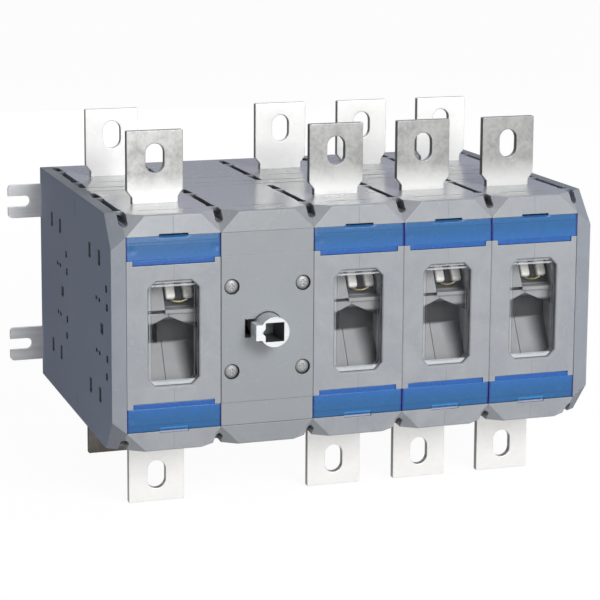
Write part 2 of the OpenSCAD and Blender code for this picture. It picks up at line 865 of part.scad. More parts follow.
// A rail with an open slot in each end, flush with the rear plane.
module mounting_rail() {
    rail_w = body_w + 2 * (end_plate_t + rail_out);
    color("lightsteelblue") translate([0, 0, rail_z]) along_y(-rail_t, 0)
        difference() {
            union() {
                square([rail_w, rail_h - 2 * rail_corner_r], center = true);
                square([rail_w - 2 * rail_corner_r, rail_h], center = true);
                for (x = [-1, 1], z = [-1, 1])
                    translate([x * (rail_w / 2 - rail_corner_r), z * (rail_h / 2 - rail_corner_r)])
                        circle(r = rail_corner_r);
            }
            left_and_right() translate([rail_w / 2 - rail_slot_d, 0]) {
                circle(d = rail_slot_w);
                translate([0, -rail_slot_w / 2]) square([rail_slot_d + over, rail_slot_w]);
            }
        }
}

module upper_mounting_rail() {
    mounting_rail();
}

module lower_mounting_rail() {
    mirror([0, 0, 1]) mounting_rail();
}

for (pole = POLES) {
    front_pole_housing(pole);
    rear_pole_housing(pole);
    upper_blue_cover(pole);
    lower_blue_cover(pole);
    upper_terminal(pole, front_terminal_y);
    lower_terminal(pole, front_terminal_y);
    upper_terminal(pole, rear_terminal_y);
    lower_terminal(pole, rear_terminal_y);
}
front_mechanism_housing();
rear_mechanism_housing();
mechanism_cover();
left_end_plate();
right_end_plate();
window_panes();
arc_chamber_inserts();
contact_fingers();
drive_shaft();
set_screw();
cover_screws();
upper_mounting_rail();
lower_mounting_rail();
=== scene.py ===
"""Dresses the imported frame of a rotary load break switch: finishes, visible pieces and stage.

Lengths are in metres, in the frame's own coordinates: +X right, +Y to the back, +Z up.
"""

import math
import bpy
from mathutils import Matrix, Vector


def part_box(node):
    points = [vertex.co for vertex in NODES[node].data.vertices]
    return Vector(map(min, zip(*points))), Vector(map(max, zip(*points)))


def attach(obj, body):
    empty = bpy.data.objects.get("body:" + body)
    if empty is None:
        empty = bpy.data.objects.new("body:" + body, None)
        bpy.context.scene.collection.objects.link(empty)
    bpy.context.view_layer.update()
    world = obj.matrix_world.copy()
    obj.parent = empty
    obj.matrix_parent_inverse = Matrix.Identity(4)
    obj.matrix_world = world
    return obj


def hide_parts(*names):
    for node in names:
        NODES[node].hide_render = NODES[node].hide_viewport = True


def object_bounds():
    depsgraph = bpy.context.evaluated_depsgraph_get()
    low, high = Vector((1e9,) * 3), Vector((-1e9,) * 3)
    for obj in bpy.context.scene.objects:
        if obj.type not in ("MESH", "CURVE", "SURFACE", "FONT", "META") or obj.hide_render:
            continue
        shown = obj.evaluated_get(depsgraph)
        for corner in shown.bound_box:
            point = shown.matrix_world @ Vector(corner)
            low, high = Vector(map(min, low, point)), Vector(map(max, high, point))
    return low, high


bl_info = {
    "name": "Load Break Switch Dresser",
    "version": (1, 0, 0),
    "blender": (4, 5, 0),
    "location": "View3D > Sidebar > Switch",
    "description": "Adds the finishes, visible pieces and stage of a four pole load break switch",
    "category": "Object",
}

from functools import reduce

import bpy
import numpy as np
from bpy.props import FloatProperty, FloatVectorProperty, PointerProperty
from mathutils import Vector

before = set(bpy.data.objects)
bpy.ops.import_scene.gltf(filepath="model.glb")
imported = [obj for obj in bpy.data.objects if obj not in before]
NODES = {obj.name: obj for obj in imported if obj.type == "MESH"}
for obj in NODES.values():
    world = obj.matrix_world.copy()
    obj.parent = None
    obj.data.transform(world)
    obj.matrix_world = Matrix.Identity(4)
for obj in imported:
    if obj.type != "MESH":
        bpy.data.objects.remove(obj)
CAD_BOX = [list(corner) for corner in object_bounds()]
POLES = (1, 2, 3, 4)
MM = 0.001
BODY = "body"
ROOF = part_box("front_mechanism_housing")[1][2]


def box_of(node):
    """The low and high corners of a node's box at rest."""
    return (np.array(corner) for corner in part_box(node))


def middle(node):
    """The centre of a node's box at rest."""
    low, high = box_of(node)
    return (low + high) / 2


def unit(vectors):
    """Vectors brought to length one."""
    return vectors / np.linalg.norm(vectors, axis=1)[:, None]


def box_beside(node, guide):
    """The box of that part of a node which lies within the width of a guide node."""
    mesh = NODES[node].data
    points = np.empty(3 * len(mesh.vertices))
    mesh.vertices.foreach_get("co", points)
    points = points.reshape(-1, 3)
    low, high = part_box(guide)
    points = points[(points[:, 0] > low[0]) & (points[:, 0] < high[0])]
    return points.min(axis=0), points.max(axis=0)


# ---------------------------------------------------------------- properties


def length(name, description, default):
    """A length property in metres."""
    return FloatProperty(name=name, description=description, default=default, min=0.0, unit="LENGTH")


def colour(name, description, default):
    """A colour property, in linear light."""
    return FloatVectorProperty(
        name=name, description=description, default=default, subtype="COLOR", size=3, min=0.0, max=1.0
    )


def power(name, description, default):
    """A lamp's power in watts."""
    return FloatProperty(name=name, description=description, default=default, min=0.0, unit="POWER")


class SwitchSizes(bpy.types.PropertyGroup):
    """Sizes of the small shapes that finish the switch."""

    edge: length("Edge radius", "How round the moulded edges look", 0.7 * MM)
    plate_edge: length("Bar edge radius", "Rounding of a terminal bar's edges", 0.6 * MM)
    plate_corner: length("Bar corner radius", "Rounding of a terminal bar's corners", 0.8 * MM)
    neck_width: length("Neck width", "Width of a terminal bar where it enters the housing", 32.2 * MM)
    shoulder: length("Shoulder height", "Height of a bar's shoulder above the housing", 8.5 * MM)
    shoulder_slope: length("Shoulder slope", "Height of the slope from neck to shoulder", 4.5 * MM)
    slot_width: length("Slot width", "Width of a terminal slot", 13 * MM)
    slot_length: length("Slot length", "Length of a terminal slot", 20 * MM)
    slot_drop: length("Slot drop", "Distance from a bar's end to its slot's middle", 19 * MM)
    cover_round: length("Cover rounding", "Rounding of a blue cover's edges", 0.45 * MM)
    lip_height: length("Lip height", "Height of a blue cover's narrow lip", 3.3 * MM)
    lip_width: length("Lip width", "Width of a blue cover's narrow lip", 55.7 * MM)
    facet_height: length("Facet height", "Height of the leaning facet at a cover's outer edge", 4.4 * MM)
    facet_lean: length("Facet lean", "How far that facet leans back", 0.5 * MM)
    tab_width: length("Tab width", "Width of the tab below a lower blue cover", 19.4 * MM)
    tab_height: length("Tab height", "Height of that tab", 1.1 * MM)
    finger_width: length("Finger width", "Width of a contact finger", 6.8 * MM)
    finger_depth: length("Finger depth", "Thickness of a contact finger from front to back", 5.5 * MM)
    finger_lean: FloatProperty(
        name="Finger lean", description="How far the contact fingers lean back",
        default=math.radians(28.6), subtype="ANGLE",
    )
    bridge_radius: length("Bridge radius", "Thickness of the brass bridge under the fingers", 1.7 * MM)
    screw_head: length("Screw head", "Diameter of a cover screw's head", 9 * MM)
    screw_shank: length("Screw shank", "Diameter of a cover screw's shank", 4.5 * MM)
    screw_dome: length("Screw dome", "Rise of a cover screw's domed head", 1.5 * MM)
    screw_head_height: length("Head height", "Height of a cover screw's head", 3 * MM)
    recess_width: length("Recess width", "Width of an arm of the cross recess", 1.3 * MM)
    recess_reach: length("Recess reach", "Reach of an arm of the cross recess", 2.3 * MM)
    recess_depth: length("Recess depth", "Depth of the cross recess", 0.7 * MM)
    socket_width: length("Socket width", "Width of the shaft's square socket", 13 * MM)


class SwitchColours(bpy.types.PropertyGroup):
    """Colours of the finishes."""

    housing: colour("Housing", "Glass filled grey moulding", (0.415, 0.435, 0.46))
    housing_dark: colour("Housing streaks", "Darker swirls in the moulding", (0.355, 0.375, 0.41))
    cover: colour("Mechanism cover", "Smoother and darker grey", (0.345, 0.368, 0.39))
    end_plate: colour("End plates", "Grey of the end walls", (0.33, 0.355, 0.40))
    # Painted light: a lighter, bluer grey on the end plates' outer sides, for the cool light in their shade.
    flank_painted_light: colour("Flanks", "Outer sides of the end walls", (0.44, 0.50, 0.66))
    insert: colour("Arc chamber", "Pale grey inside the windows", (0.41, 0.418, 0.43))
    # Painted shade: a near black laid in the contact bay and at the back of the lower chamber, where shade
    # falls.
    painted_shade: colour("Soot", "Arc soot round the contacts", (0.040, 0.040, 0.042))
    fleck: colour("Flecks", "Glass flecks in the mouldings", (0.75, 0.77, 0.80))
    # Painted highlight: a pale grey laid along the moulded edges.
    painted_edge_highlight: colour("Worn edges", "Edges of the mouldings", (0.70, 0.72, 0.75))
    # Painted shade: nearly black, laid into deep grooves and holes.
    groove_shade: colour("Creases", "Deep grooves and holes of the mouldings", (0.008, 0.008, 0.01))
    pane: colour("Pane", "Clear plastic of the windows", (0.80, 0.84, 0.88))
    blue: colour("Blue covers", "Snap-on covers", (0.032, 0.152, 0.385))
    # Painted sheen: a paler blue laid on the covers towards their lips.
    blue_painted_sheen: colour("Pale blue", "The covers beside their lips", (0.038, 0.168, 0.50))
    # Painted shade: a darker navy at the ends of the covers, where they meet.
    navy_end_shade: colour("Navy ends", "Ends of the blue covers", (0.035, 0.06, 0.30))
    blue_lip: colour("Blue lip", "Brighter blue of the thin lips", (0.027, 0.135, 0.475))
    # Painted highlight: a lighter blue along the covers' edges.
    blue_edge_highlight: colour("Blue edges", "Edges of the blue covers", (0.10, 0.26, 0.56))
    # Painted highlight: a brighter blue on each lower cover beside its tab.
    tab_painted_shine: colour("Tab shine", "The lower covers beside their tabs", (0.06, 0.30, 0.68))
    tab: colour("Tabs", "The tabs below the lower covers", (0.42, 0.45, 0.58))
    plating: colour("Plating", "Plated copper bars", (0.94, 0.93, 0.91))
    plating_dull: colour("Dull plating", "Patches where the plating is dull", (0.86, 0.85, 0.835))
    # Painted shade: a darker copy of the bars' plating, with its dull patches, for the upper front bars.
    shaded_front_plating: colour("Clouded plating", "The upper front bars", (0.44, 0.44, 0.432))
    shaded_front_plating_dull: colour("Dull clouds", "Dull patches of those bars", (0.29, 0.29, 0.286))
    # Painted reflection: the upper front bars lighten near the housing, for the housing top that they
    # reflect.
    root: colour("Bar roots", "The upper front bars beside the housing", (0.86, 0.86, 0.845))
    # Painted light: a brighter copy of the plating for the upper rear bars, for the white that they reflect.
    lit_rear_plating: colour("Fresh plating", "The upper rear bars", (0.95, 0.95, 0.935))
    wiped: colour("Wipe marks", "Faint upright marks on the bars", (0.9, 0.9, 0.88))
    # Painted shade: a dark brownish grey for the lower rear bar at the left, which lies in shade.
    shaded_left_bar: colour("Tarnish", "The lower rear bar at the left", (0.30, 0.265, 0.235))
    zinc: colour("Zinc", "Rails", (0.66, 0.66, 0.67))
    dull_zinc: colour("Dull zinc", "Cover screws", (0.38, 0.39, 0.40))
    bright: colour("Bright zinc", "Shaft coupling", (0.72, 0.74, 0.75))
    # Painted shade: dark inside the shaft coupling's socket, where shade falls.
    socket_shade: colour("Oily socket", "Dark inside the shaft coupling", (0.15, 0.165, 0.168))
    silver: colour("Silver", "Contact fingers", (0.95, 0.93, 0.89))
    brass: colour("Brass", "Contact bridge", (0.17, 0.15, 0.08))
    floor: colour("Floor", "Studio floor", (0.62, 0.62, 0.62))


class SwitchStage(bpy.types.PropertyGroup):
    """Camera, lamps, sky and backdrop."""

    camera_place: FloatVectorProperty(
        name="Camera place", description="Where the camera stands", default=(-0.47204, -1.4876, 0.30917),
        subtype="XYZ", unit="LENGTH",
    )
    camera_turn: FloatVectorProperty(
        name="Camera turn", description="How the camera is turned",
        default=(math.radians(81.013), math.radians(-0.138), math.radians(-17.421)), subtype="EULER",
    )
    lens: FloatProperty(
        name="Lens", description="Focal length in millimetres", default=121.293, min=10.0, unit="CAMERA"
    )
    shift: FloatVectorProperty(
        name="Shift", description="Sideways shift and rise of the lens", default=(0.08, -0.2), size=2
    )
    key_power: power("Key light", "Power of the key light", 30.0)
    fill_power: power("Fill light", "Power of the low front light", 6.0)
    back_power: power("Back light", "Power of the back light", 3.0)
    rear_power: power("Rear light", "Power of the light on the rear faces", 9.0)
    sky: FloatProperty(
        name="Sky", description="Strength of the soft light from all round", default=0.12, min=0.0
    )
    backdrop: colour("Backdrop", "What reflections see low down at the back", (0.50, 0.52, 0.64))


# ------------------------------------------------------------------- meshes


def grid_faces(rows, columns, wrap_rows=False, wrap_columns=False):
    """Quads of a grid of points, row after row; a wrapped way joins its last line to its first."""
    row = np.arange(rows if wrap_rows else rows - 1)[:, None]
    column = np.arange(columns if wrap_columns else columns - 1)[None, :]
    next_row = (row + 1) % rows
    next_column = (column + 1) % columns
    quads = np.stack(
        [
            row * columns + column,
            row * columns + next_column,
            next_row * columns + next_column,
            next_row * columns + column,
        ],
        axis=-1,
    )
    return quads.reshape(-1, 4).tolist()


def tube(grid):
    """A closed tube from a grid whose rows are rings of points, with a cap at each end."""
    rows, columns = grid.shape[:2]
    faces = grid_faces(rows, columns, wrap_columns=True)
    faces.append(list(range(columns))[::-1])
    faces.append(list(range((rows - 1) * columns, rows * columns)))
    return grid.reshape(-1, 3), faces


def spread(start, end, count, edge):
    """Places from start to end, even in the middle and closer together within edge of both ends."""
    near = edge * (1 - np.cos(np.linspace(0, math.pi / 2, 4)))
    even = np.linspace(start + edge, end - edge, count)[1:-1]
    return np.concatenate([start + near, even, end - near[::-1]])


def rolled(inside, radius):
    """How far a quarter circle edge has fallen at a distance inside that edge."""
    gap = np.clip(radius - inside, 0, radius)
    return radius - np.sqrt(radius**2 - gap**2)


def relief_block(low, high, depth, columns, rows, edge):
    """A block whose front face is a relief, as one closed tube.

    Each ring is its section at one x: up the front face, which lies depth(x, z) behind the
    block's front, and down the flat rear face.
    """
    across, up = np.meshgrid(
        spread(low[0], high[0], columns, edge), spread(low[2], high[2], rows, edge), indexing="ij"
    )
    front = np.stack([across, low[1] + depth(across, up), up], axis=-1)
    rear = np.stack([across, np.full_like(across, high[1]), up], axis=-1)[:, ::-1]
    return tube(np.concatenate([front, rear], axis=1))


def turned(profile, columns=48):
    """The grid of a solid turned about y, from (radius, y) pairs that begin and end near the axis."""
    angle = np.linspace(0, 2 * math.pi, columns, endpoint=False)
    radius, along = np.array(profile).T
    return np.stack(
        [
            radius[:, None] * np.cos(angle),
            np.repeat(along[:, None], columns, axis=1),
            radius[:, None] * np.sin(angle),
        ],
        axis=-1,
    )


def rod_along(path, radius, columns=12):
    """A round rod along a path that stays in one plane across y: rings square to its tangent."""
    backward = np.array([0.0, 1.0, 0.0])
    side = np.cross(unit(np.gradient(path, axis=0)), backward)
    angle = np.linspace(0, 2 * math.pi, columns, endpoint=False)[None, :, None]
    ring = np.cos(angle) * side[:, None] + np.sin(angle) * backward
    return tube(path[:, None] + radius * ring)


def place_object(name, data):
    """A new object in the scene."""
    made = bpy.data.objects.new(name, data)
    bpy.context.scene.collection.objects.link(made)
    return made


def mesh_object(name, shapes, materials, smooth=40.0):
    """One object from a list of (points, faces), smooth up to an angle, with its faces outward.

    materials is one finish for all of the shapes, or a list with one for each.
    """
    points = np.concatenate([shape[0] for shape in shapes])
    starts = np.cumsum([0] + [len(shape[0]) for shape in shapes[:-1]])
    faces = [[int(one + start) for one in face] for shape, start in zip(shapes, starts) for face in shape[1]]
    mesh = bpy.data.meshes.new(name)
    mesh.from_pydata(points.tolist(), [], faces)
    if isinstance(materials, list):
        finish = np.repeat(np.arange(len(shapes)), [len(shape[1]) for shape in shapes])
        mesh.polygons.foreach_set("material_index", finish.astype(np.int32))
    for material in materials if isinstance(materials, list) else [materials]:
        mesh.materials.append(material)
    mesh.polygons.foreach_set("use_smooth", np.ones(len(mesh.polygons), bool))
    mesh.set_sharp_from_angle(angle=math.radians(smooth))
    mesh.update()
    piece = place_object(name, mesh)
    turn_outward(piece)
    return piece


def turn_outward(piece):
    """Makes every closed part's faces point out of it."""
    bpy.context.view_layer.objects.active = piece
    for other in bpy.context.selected_objects:
        other.select_set(False)
    piece.select_set(True)
    bpy.ops.object.mode_set(mode="EDIT")
    bpy.ops.mesh.select_all(action="SELECT")
    bpy.ops.mesh.normals_make_consistent(inside=False)
    bpy.ops.object.mode_set(mode="OBJECT")


def weigh_normals(piece):
    """Keeps flat faces flat beside their rounded edges."""
    weights = piece.modifiers.new("Flat faces", "WEIGHTED_NORMAL")
    weights.keep_sharp = True


def settle(piece, nodes=()):
    """Ties a piece to the fixed body, and hides the frame nodes it stands for."""
    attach(piece, BODY)
    if nodes:
        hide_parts(*nodes)


def dress(node, material):
    """Gives a frame node its finish."""
    mesh = NODES[node].data
    mesh.materials.clear()
    mesh.materials.append(material)


# ---------------------------------------------------------------- materials


def socket(sockets, key):
    """The socket with that identifier or name."""
    for one in sockets:
        if one.identifier == key and one.enabled:
            return one
    return sockets[key]


def add(tree, kind, settings=None, **inputs):
    """A new node; an input given as a socket is linked and any other value is set.

    Underscores in an input's name stand for spaces.
    """
    made = tree.nodes.new(kind)
    for key, value in (settings or {}).items():
        setattr(made, key, value)
    for key, value in inputs.items():
        spaced = key.replace("_", " ")
        target = socket(made.inputs, spaced if spaced in made.inputs else key)
        if isinstance(value, bpy.types.NodeSocket):
            tree.links.new(value, target)
        else:
            target.default_value = value
    return made


def mix_colour(tree, factor, first, second):
    """A colour between two others."""
    made = add(tree, "ShaderNodeMix", {"data_type": "RGBA"})
    for key, value in (("Factor_Float", factor), ("A_Color", first), ("B_Color", second)):
        target = socket(made.inputs, key)
        if isinstance(value, bpy.types.NodeSocket):
            tree.links.new(value, target)
        elif key == "Factor_Float":
            target.default_value = value
        else:
            target.default_value = (*value[:3], 1.0)
    return socket(made.outputs, "Result_Color")


def mix_shader(tree, share, first, second):
    """A shader between two others."""
    made = tree.nodes.new("ShaderNodeMixShader")
    for target, source in zip(made.inputs, (share, first, second)):
        tree.links.new(source, target)
    return made.outputs["Shader"]


def remap(tree, value, low, high, out_low=0.0, out_high=1.0):
    """A value stretched from one range to another, and kept inside it."""
    made = add(
        tree, "ShaderNodeMapRange", Value=value, From_Min=low, From_Max=high, To_Min=out_low, To_Max=out_high
    )
    return made.outputs["Result"]


def maths(tree, operation, first, second=0.0):
    """One operation on two values."""
    made = tree.nodes.new("ShaderNodeMath")
    made.operation = operation
    for target, value in zip(made.inputs, (first, second)):
        if isinstance(value, bpy.types.NodeSocket):
            tree.links.new(value, target)
        else:
            target.default_value = value
    return made.outputs[0]


def product(tree, *values):
    """All of the values multiplied."""
    return reduce(lambda first, second: maths(tree, "MULTIPLY", first, second), values)


def greatest(tree, *values):
    """The greatest of the values."""
    return reduce(lambda first, second: maths(tree, "MAXIMUM", first, second), values)


def less(tree, first, second):
    """The first value less the second."""
    return maths(tree, "SUBTRACT", first, second)


def blend(tree, first, second, share):
    """A share of the second value with the rest of the first."""
    return maths(tree, "ADD", product(tree, first, 1 - share), product(tree, second, share))


def parts_of(tree, vector):
    """The X, Y and Z sockets of a vector."""
    return add(tree, "ShaderNodeSeparateXYZ", Vector=vector).outputs


def place_in_frame(tree):
    """Where a point is in the frame, in metres, as X, Y and Z sockets."""
    return parts_of(tree, tree.nodes.new("ShaderNodeTexCoord").outputs["Object"])


def facing(tree):
    """Which way a face looks, as X, Y and Z sockets."""
    return parts_of(tree, tree.nodes.new("ShaderNodeNewGeometry").outputs["True Normal"])


def dimmed(color, share):
    """A share of a colour."""
    return tuple(share * channel for channel in color)


def noise(tree, place, scale, detail=4.0, roughness=0.5, distortion=0.0):
    """A noise value over a place."""
    made = add(
        tree, "ShaderNodeTexNoise", Vector=place, Scale=scale, Detail=detail, Roughness=roughness,
        Distortion=distortion,
    )
    return made.outputs["Fac"]


def new_group(name, inputs, outputs):
    """A shader group with its named inputs and outputs; gives the tree and both end nodes."""
    group = bpy.data.node_groups.new(name, "ShaderNodeTree")
    for label, kind, default in inputs:
        made = group.interface.new_socket(label, in_out="INPUT", socket_type=kind)
        made.default_value = default
    for label, kind in outputs:
        group.interface.new_socket(label, in_out="OUTPUT", socket_type=kind)
    return group, group.nodes.new("NodeGroupInput"), group.nodes.new("NodeGroupOutput")


def shared(name, build):
    """The group of that name, built the first time it is asked for."""
    return bpy.data.node_groups.get(name) or build(name)


FLOAT = "NodeSocketFloat"
VECTOR = "NodeSocketVector"


def shifted_place(tree, given):
    """Object coordinates moved by a group's Shift, so that pieces don't share one pattern."""
    moved = add(tree, "ShaderNodeVectorMath", {"operation": "ADD"})
    tree.links.new(tree.nodes.new("ShaderNodeTexCoord").outputs["Object"], moved.inputs[0])
    tree.links.new(given.outputs["Shift"], moved.inputs[1])
    return moved.outputs[0]


def build_round_edges(name):
    """Edges that catch light as if rounded, and a mask of where they are."""
    tree, given, out = new_group(name, [("Radius", FLOAT, 0.0007)], [("Normal", VECTOR), ("Edge", FLOAT)])
    rounded = add(tree, "ShaderNodeBevel", {"samples": 6}, Radius=given.outputs["Radius"])
    flat = tree.nodes.new("ShaderNodeNewGeometry").outputs["Normal"]
    alike = add(tree, "ShaderNodeVectorMath", {"operation": "DOT_PRODUCT"})
    tree.links.new(rounded.outputs["Normal"], alike.inputs[0])
    tree.links.new(flat, alike.inputs[1])
    tree.links.new(rounded.outputs["Normal"], out.inputs["Normal"])
    tree.links.new(remap(tree, alike.outputs["Value"], 1.0, 0.85), out.inputs["Edge"])
    return tree


def build_groove_shade(name):
    """A mask of deep grooves and holes, where little open space lies around, for painted shade."""
    tree, given, out = new_group(name, [("Reach", FLOAT, 0.008)], [("Crease", FLOAT)])
    space = add(tree, "ShaderNodeAmbientOcclusion", {"samples": 6}, Distance=given.outputs["Reach"])
    tree.links.new(remap(tree, space.outputs["AO"], 0.6, 0.25), out.inputs["Crease"])
    return tree


def build_marbling(name):
    """Swirls, flow streaks and fine grain of a glass filled moulding."""
    tree, given, out = new_group(
        name,
        [("Swirl Scale", FLOAT, 22.0), ("Grain Scale", FLOAT, 900.0), ("Shift", VECTOR, (0.0, 0.0, 0.0))],
        [("Swirl", FLOAT), ("Fleck", FLOAT), ("Height", FLOAT)],
    )
    place = shifted_place(tree, given)
    broad = given.outputs["Swirl Scale"]
    tight = product(tree, broad, 4.0)
    swirl = noise(tree, place, broad, detail=3.0, roughness=0.55, distortion=1.6)
    fine = noise(tree, place, tight, detail=4.0, roughness=0.6, distortion=0.8)
    tree.links.new(remap(tree, blend(tree, swirl, fine, 0.3), 0.38, 0.62), out.inputs["Swirl"])
    grain = noise(tree, place, given.outputs["Grain Scale"], detail=3.0, roughness=0.6)
    coarse = product(tree, given.outputs["Grain Scale"], 0.45)
    fleck = noise(tree, place, coarse, detail=2.0, roughness=0.5)
    tree.links.new(remap(tree, fleck, 0.60, 0.72), out.inputs["Fleck"])
    tree.links.new(grain, out.inputs["Height"])
    return tree


def build_plating(name):
    """Dull and bright patches, faint wipe marks and fine pits of plated copper."""
    tree, given, out = new_group(
        name,
        [("Patch Scale", FLOAT, 75.0), ("Shift", VECTOR, (0.0, 0.0, 0.0))],
        [("Dull", FLOAT), ("Wipe", FLOAT), ("Height", FLOAT)],
    )
    place = shifted_place(tree, given)
    wide = noise(tree, place, given.outputs["Patch Scale"], detail=3.0, roughness=0.6, distortion=0.6)
    tight = product(tree, given.outputs["Patch Scale"], 5.0)
    small = noise(tree, place, tight, detail=4.0, roughness=0.7)
    tree.links.new(remap(tree, blend(tree, wide, small, 0.4), 0.42, 0.62), out.inputs["Dull"])
    tall = add(tree, "ShaderNodeMapping", Vector=place, Scale=(9.0, 9.0, 1.0))
    wipe = noise(tree, tall.outputs["Vector"], scale=40.0, detail=3.0, roughness=0.6)
    tree.links.new(remap(tree, wipe, 0.35, 0.65), out.inputs["Wipe"])
    pits = noise(tree, place, scale=320.0, detail=3.0, roughness=0.6)
    tree.links.new(pits, out.inputs["Height"])
    return tree


def build_brushed(name):
    """Fine lines along x, with slow changes of tone."""
    tree, given, out = new_group(
        name, [("Line Scale", FLOAT, 260.0)], [("Tone", FLOAT), ("Height", FLOAT)]
    )
    place = tree.nodes.new("ShaderNodeTexCoord").outputs["Object"]
    drawn = add(tree, "ShaderNodeMapping", Vector=place, Scale=(0.04, 1.0, 1.0))
    lines = noise(tree, drawn.outputs["Vector"], given.outputs["Line Scale"], detail=4.0, roughness=0.7)
    slow = noise(tree, place, scale=26.0, detail=3.0, roughness=0.55, distortion=0.4)
    tree.links.new(remap(tree, blend(tree, lines, slow, 0.5), 0.36, 0.64), out.inputs["Tone"])
    tree.links.new(lines, out.inputs["Height"])
    return tree


def use_group(tree, group, **inputs):
    """Places a shared group in a material."""
    made = tree.nodes.new("ShaderNodeGroup")
    made.node_tree = group
    for key, value in inputs.items():
        made.inputs[key.replace("_", " ")].default_value = value
    return made


def start_material(name):
    """An empty material with its Principled BSDF and output; gives material, tree and shader."""
    material = bpy.data.materials.new(name)
    material.use_nodes = True
    tree = material.node_tree
    tree.nodes.clear()
    shader = tree.nodes.new("ShaderNodeBsdfPrincipled")
    out = tree.nodes.new("ShaderNodeOutputMaterial")
    tree.links.new(shader.outputs["BSDF"], out.inputs["Surface"])
    return material, tree, shader


def feed(tree, shader, color, rough, normal, height, depth, strength=0.25):
    """Links colour, roughness and a bump, over the rounded normal if there is one, into a shader."""
    tree.links.new(color, shader.inputs["Base Color"])
    tree.links.new(rough, shader.inputs["Roughness"])
    bump = add(tree, "ShaderNodeBump", Strength=strength, Distance=depth, Height=height)
    if normal is not None:
        tree.links.new(normal, bump.inputs["Normal"])
    tree.links.new(bump.outputs["Normal"], shader.inputs["Normal"])


def shaded(tree, color, shade):
    """A colour under the layers of a shade, which gives a tree's pairs of a mask and its tone."""
    for mask, tone in shade(tree) if shade else ():
        color = mix_colour(tree, mask, color, tone)
    return color


def moulded_plastic(name, light, dark, swirl_scale=22.0, gloss=0.22, shift=(0.0, 0.0, 0.0), painted_edge_highlight=0.3,
                    groove_shade_share=0.95, ior=1.5, shade=None):
    """Glass filled moulding: swirls between two greys, pale flecks, a painted highlight along the edges and a
    fine grain.

    Painted shade turns deep grooves and holes nearly black.
    """
    sizes = bpy.context.scene.switch_sizes
    colours = bpy.context.scene.switch_colours
    material, tree, shader = start_material(name)
    edges = use_group(tree, shared("Round Edges", build_round_edges), Radius=sizes.edge)
    marble = use_group(tree, shared("Marbling", build_marbling), Swirl_Scale=swirl_scale, Shift=shift)
    groove_shading = use_group(tree, shared("Creases", build_groove_shade))
    color = mix_colour(tree, marble.outputs["Swirl"], dark, light)
    color = mix_colour(tree, product(tree, marble.outputs["Fleck"], 0.06), color, colours.fleck)
    # Painted highlight along the edges.
    color = mix_colour(tree, product(tree, edges.outputs["Edge"], painted_edge_highlight), color, colours.painted_edge_highlight)
    # Painted shade in deep grooves and holes.
    color = mix_colour(tree, product(tree, groove_shading.outputs["Crease"], groove_shade_share), color, colours.groove_shade)
    color = shaded(tree, color, shade)
    rough = remap(tree, marble.outputs["Swirl"], 0.0, 1.0, gloss + 0.06, gloss - 0.02)
    feed(tree, shader, color, rough, edges.outputs["Normal"], marble.outputs["Height"], depth=0.04 * MM)
    shader.inputs["IOR"].default_value = ior
    return material


def height_place(tree):
    """Distance above or below the middle, in metres."""
    return maths(tree, "ABSOLUTE", place_in_frame(tree)["Z"])


def pole_place(tree):
    """Distance to the right of the nearest pole's middle; the poles stand at whole pitches."""
    pitch = float(middle("front_pole_housing_3")[0] - middle("front_pole_housing_2")[0])
    moved = maths(tree, "ADD", place_in_frame(tree)["X"], pitch / 2)
    return less(tree, maths(tree, "FLOORED_MODULO", moved, pitch), pitch / 2)


def line_at(tree, value, centre, half_width):
    """A mask of a thin soft line where a value is near its centre."""
    away = maths(tree, "ABSOLUTE", less(tree, value, centre))
    return remap(tree, away, 1.6 * half_width, 0.4 * half_width)


def blue_plastic(name, light, dark, shade=None):
    """Glossy tinted plastic: faint swirls between two tones, and a painted highlight along the edges."""
    colours = bpy.context.scene.switch_colours
    material, tree, shader = start_material(name)
    edges = use_group(tree, shared("Round Edges", build_round_edges), Radius=0.3 * MM)
    marble = use_group(tree, shared("Marbling", build_marbling), Swirl_Scale=55.0, Grain_Scale=500.0)
    color = shaded(tree, mix_colour(tree, marble.outputs["Swirl"], dark, light), shade)
    # Painted highlight along the edges.
    color = mix_colour(tree, product(tree, edges.outputs["Edge"], 0.25), color, colours.blue_edge_highlight)
    rough = remap(tree, marble.outputs["Swirl"], 0.0, 1.0, 0.30, 0.24)
    feed(tree, shader, color, rough, edges.outputs["Normal"], marble.outputs["Height"], depth=0.01 * MM)
    shader.inputs["IOR"].default_value = 1.4
    return material


def side_facing(tree, axis="X"):
    """A mask of faces that look either way along x, or along another axis."""
    return remap(tree, maths(tree, "ABSOLUTE", facing(tree)[axis]), 0.75, 0.95)


def plated_metal(name, light, dull, shift=(0.0, 0.0, 0.0), mottle=0.7, gloss=0.30, metal=0.4,
                 sheared_and_shaded=False, root=None):
    """Plated copper: bright and dull patches, faint upright wipe marks, and, when asked, faces along z and
    along x darkened: partly dull cut faces, partly painted shade.

    The last argument gives a painted reflection: the colour that the bar takes where it enters the housing,
    for the housing top it reflects there.
    """
    colours = bpy.context.scene.switch_colours
    material, tree, shader = start_material(name)
    plating = use_group(tree, shared("Plating", build_plating), Shift=shift)
    color = mix_colour(tree, product(tree, plating.outputs["Dull"], mottle), light, dull)
    if root:
        # Painted reflection of the housing top, near the bar's lowest part.
        near = remap(tree, height_place(tree), ROOF + 20 * MM, ROOF + 3 * MM, 0.0, 0.95)
        color = mix_colour(tree, near, color, root)
    color = mix_colour(tree, product(tree, plating.outputs["Wipe"], 0.04), color, colours.wiped)
    # Dull cut faces and painted shade: faces along z and along x are darkened.
    if sheared_and_shaded:
        color = mix_colour(tree, side_facing(tree, "Z"), color, dimmed(dull, 0.8))
        color = mix_colour(tree, side_facing(tree), color, dimmed(dull, 0.35))
    rough = remap(tree, plating.outputs["Dull"], 0.0, 1.0, gloss, gloss + 0.10)
    feed(tree, shader, color, rough, None, plating.outputs["Height"], depth=0.01 * MM, strength=0.05)
    shader.inputs["Metallic"].default_value = metal
    return material


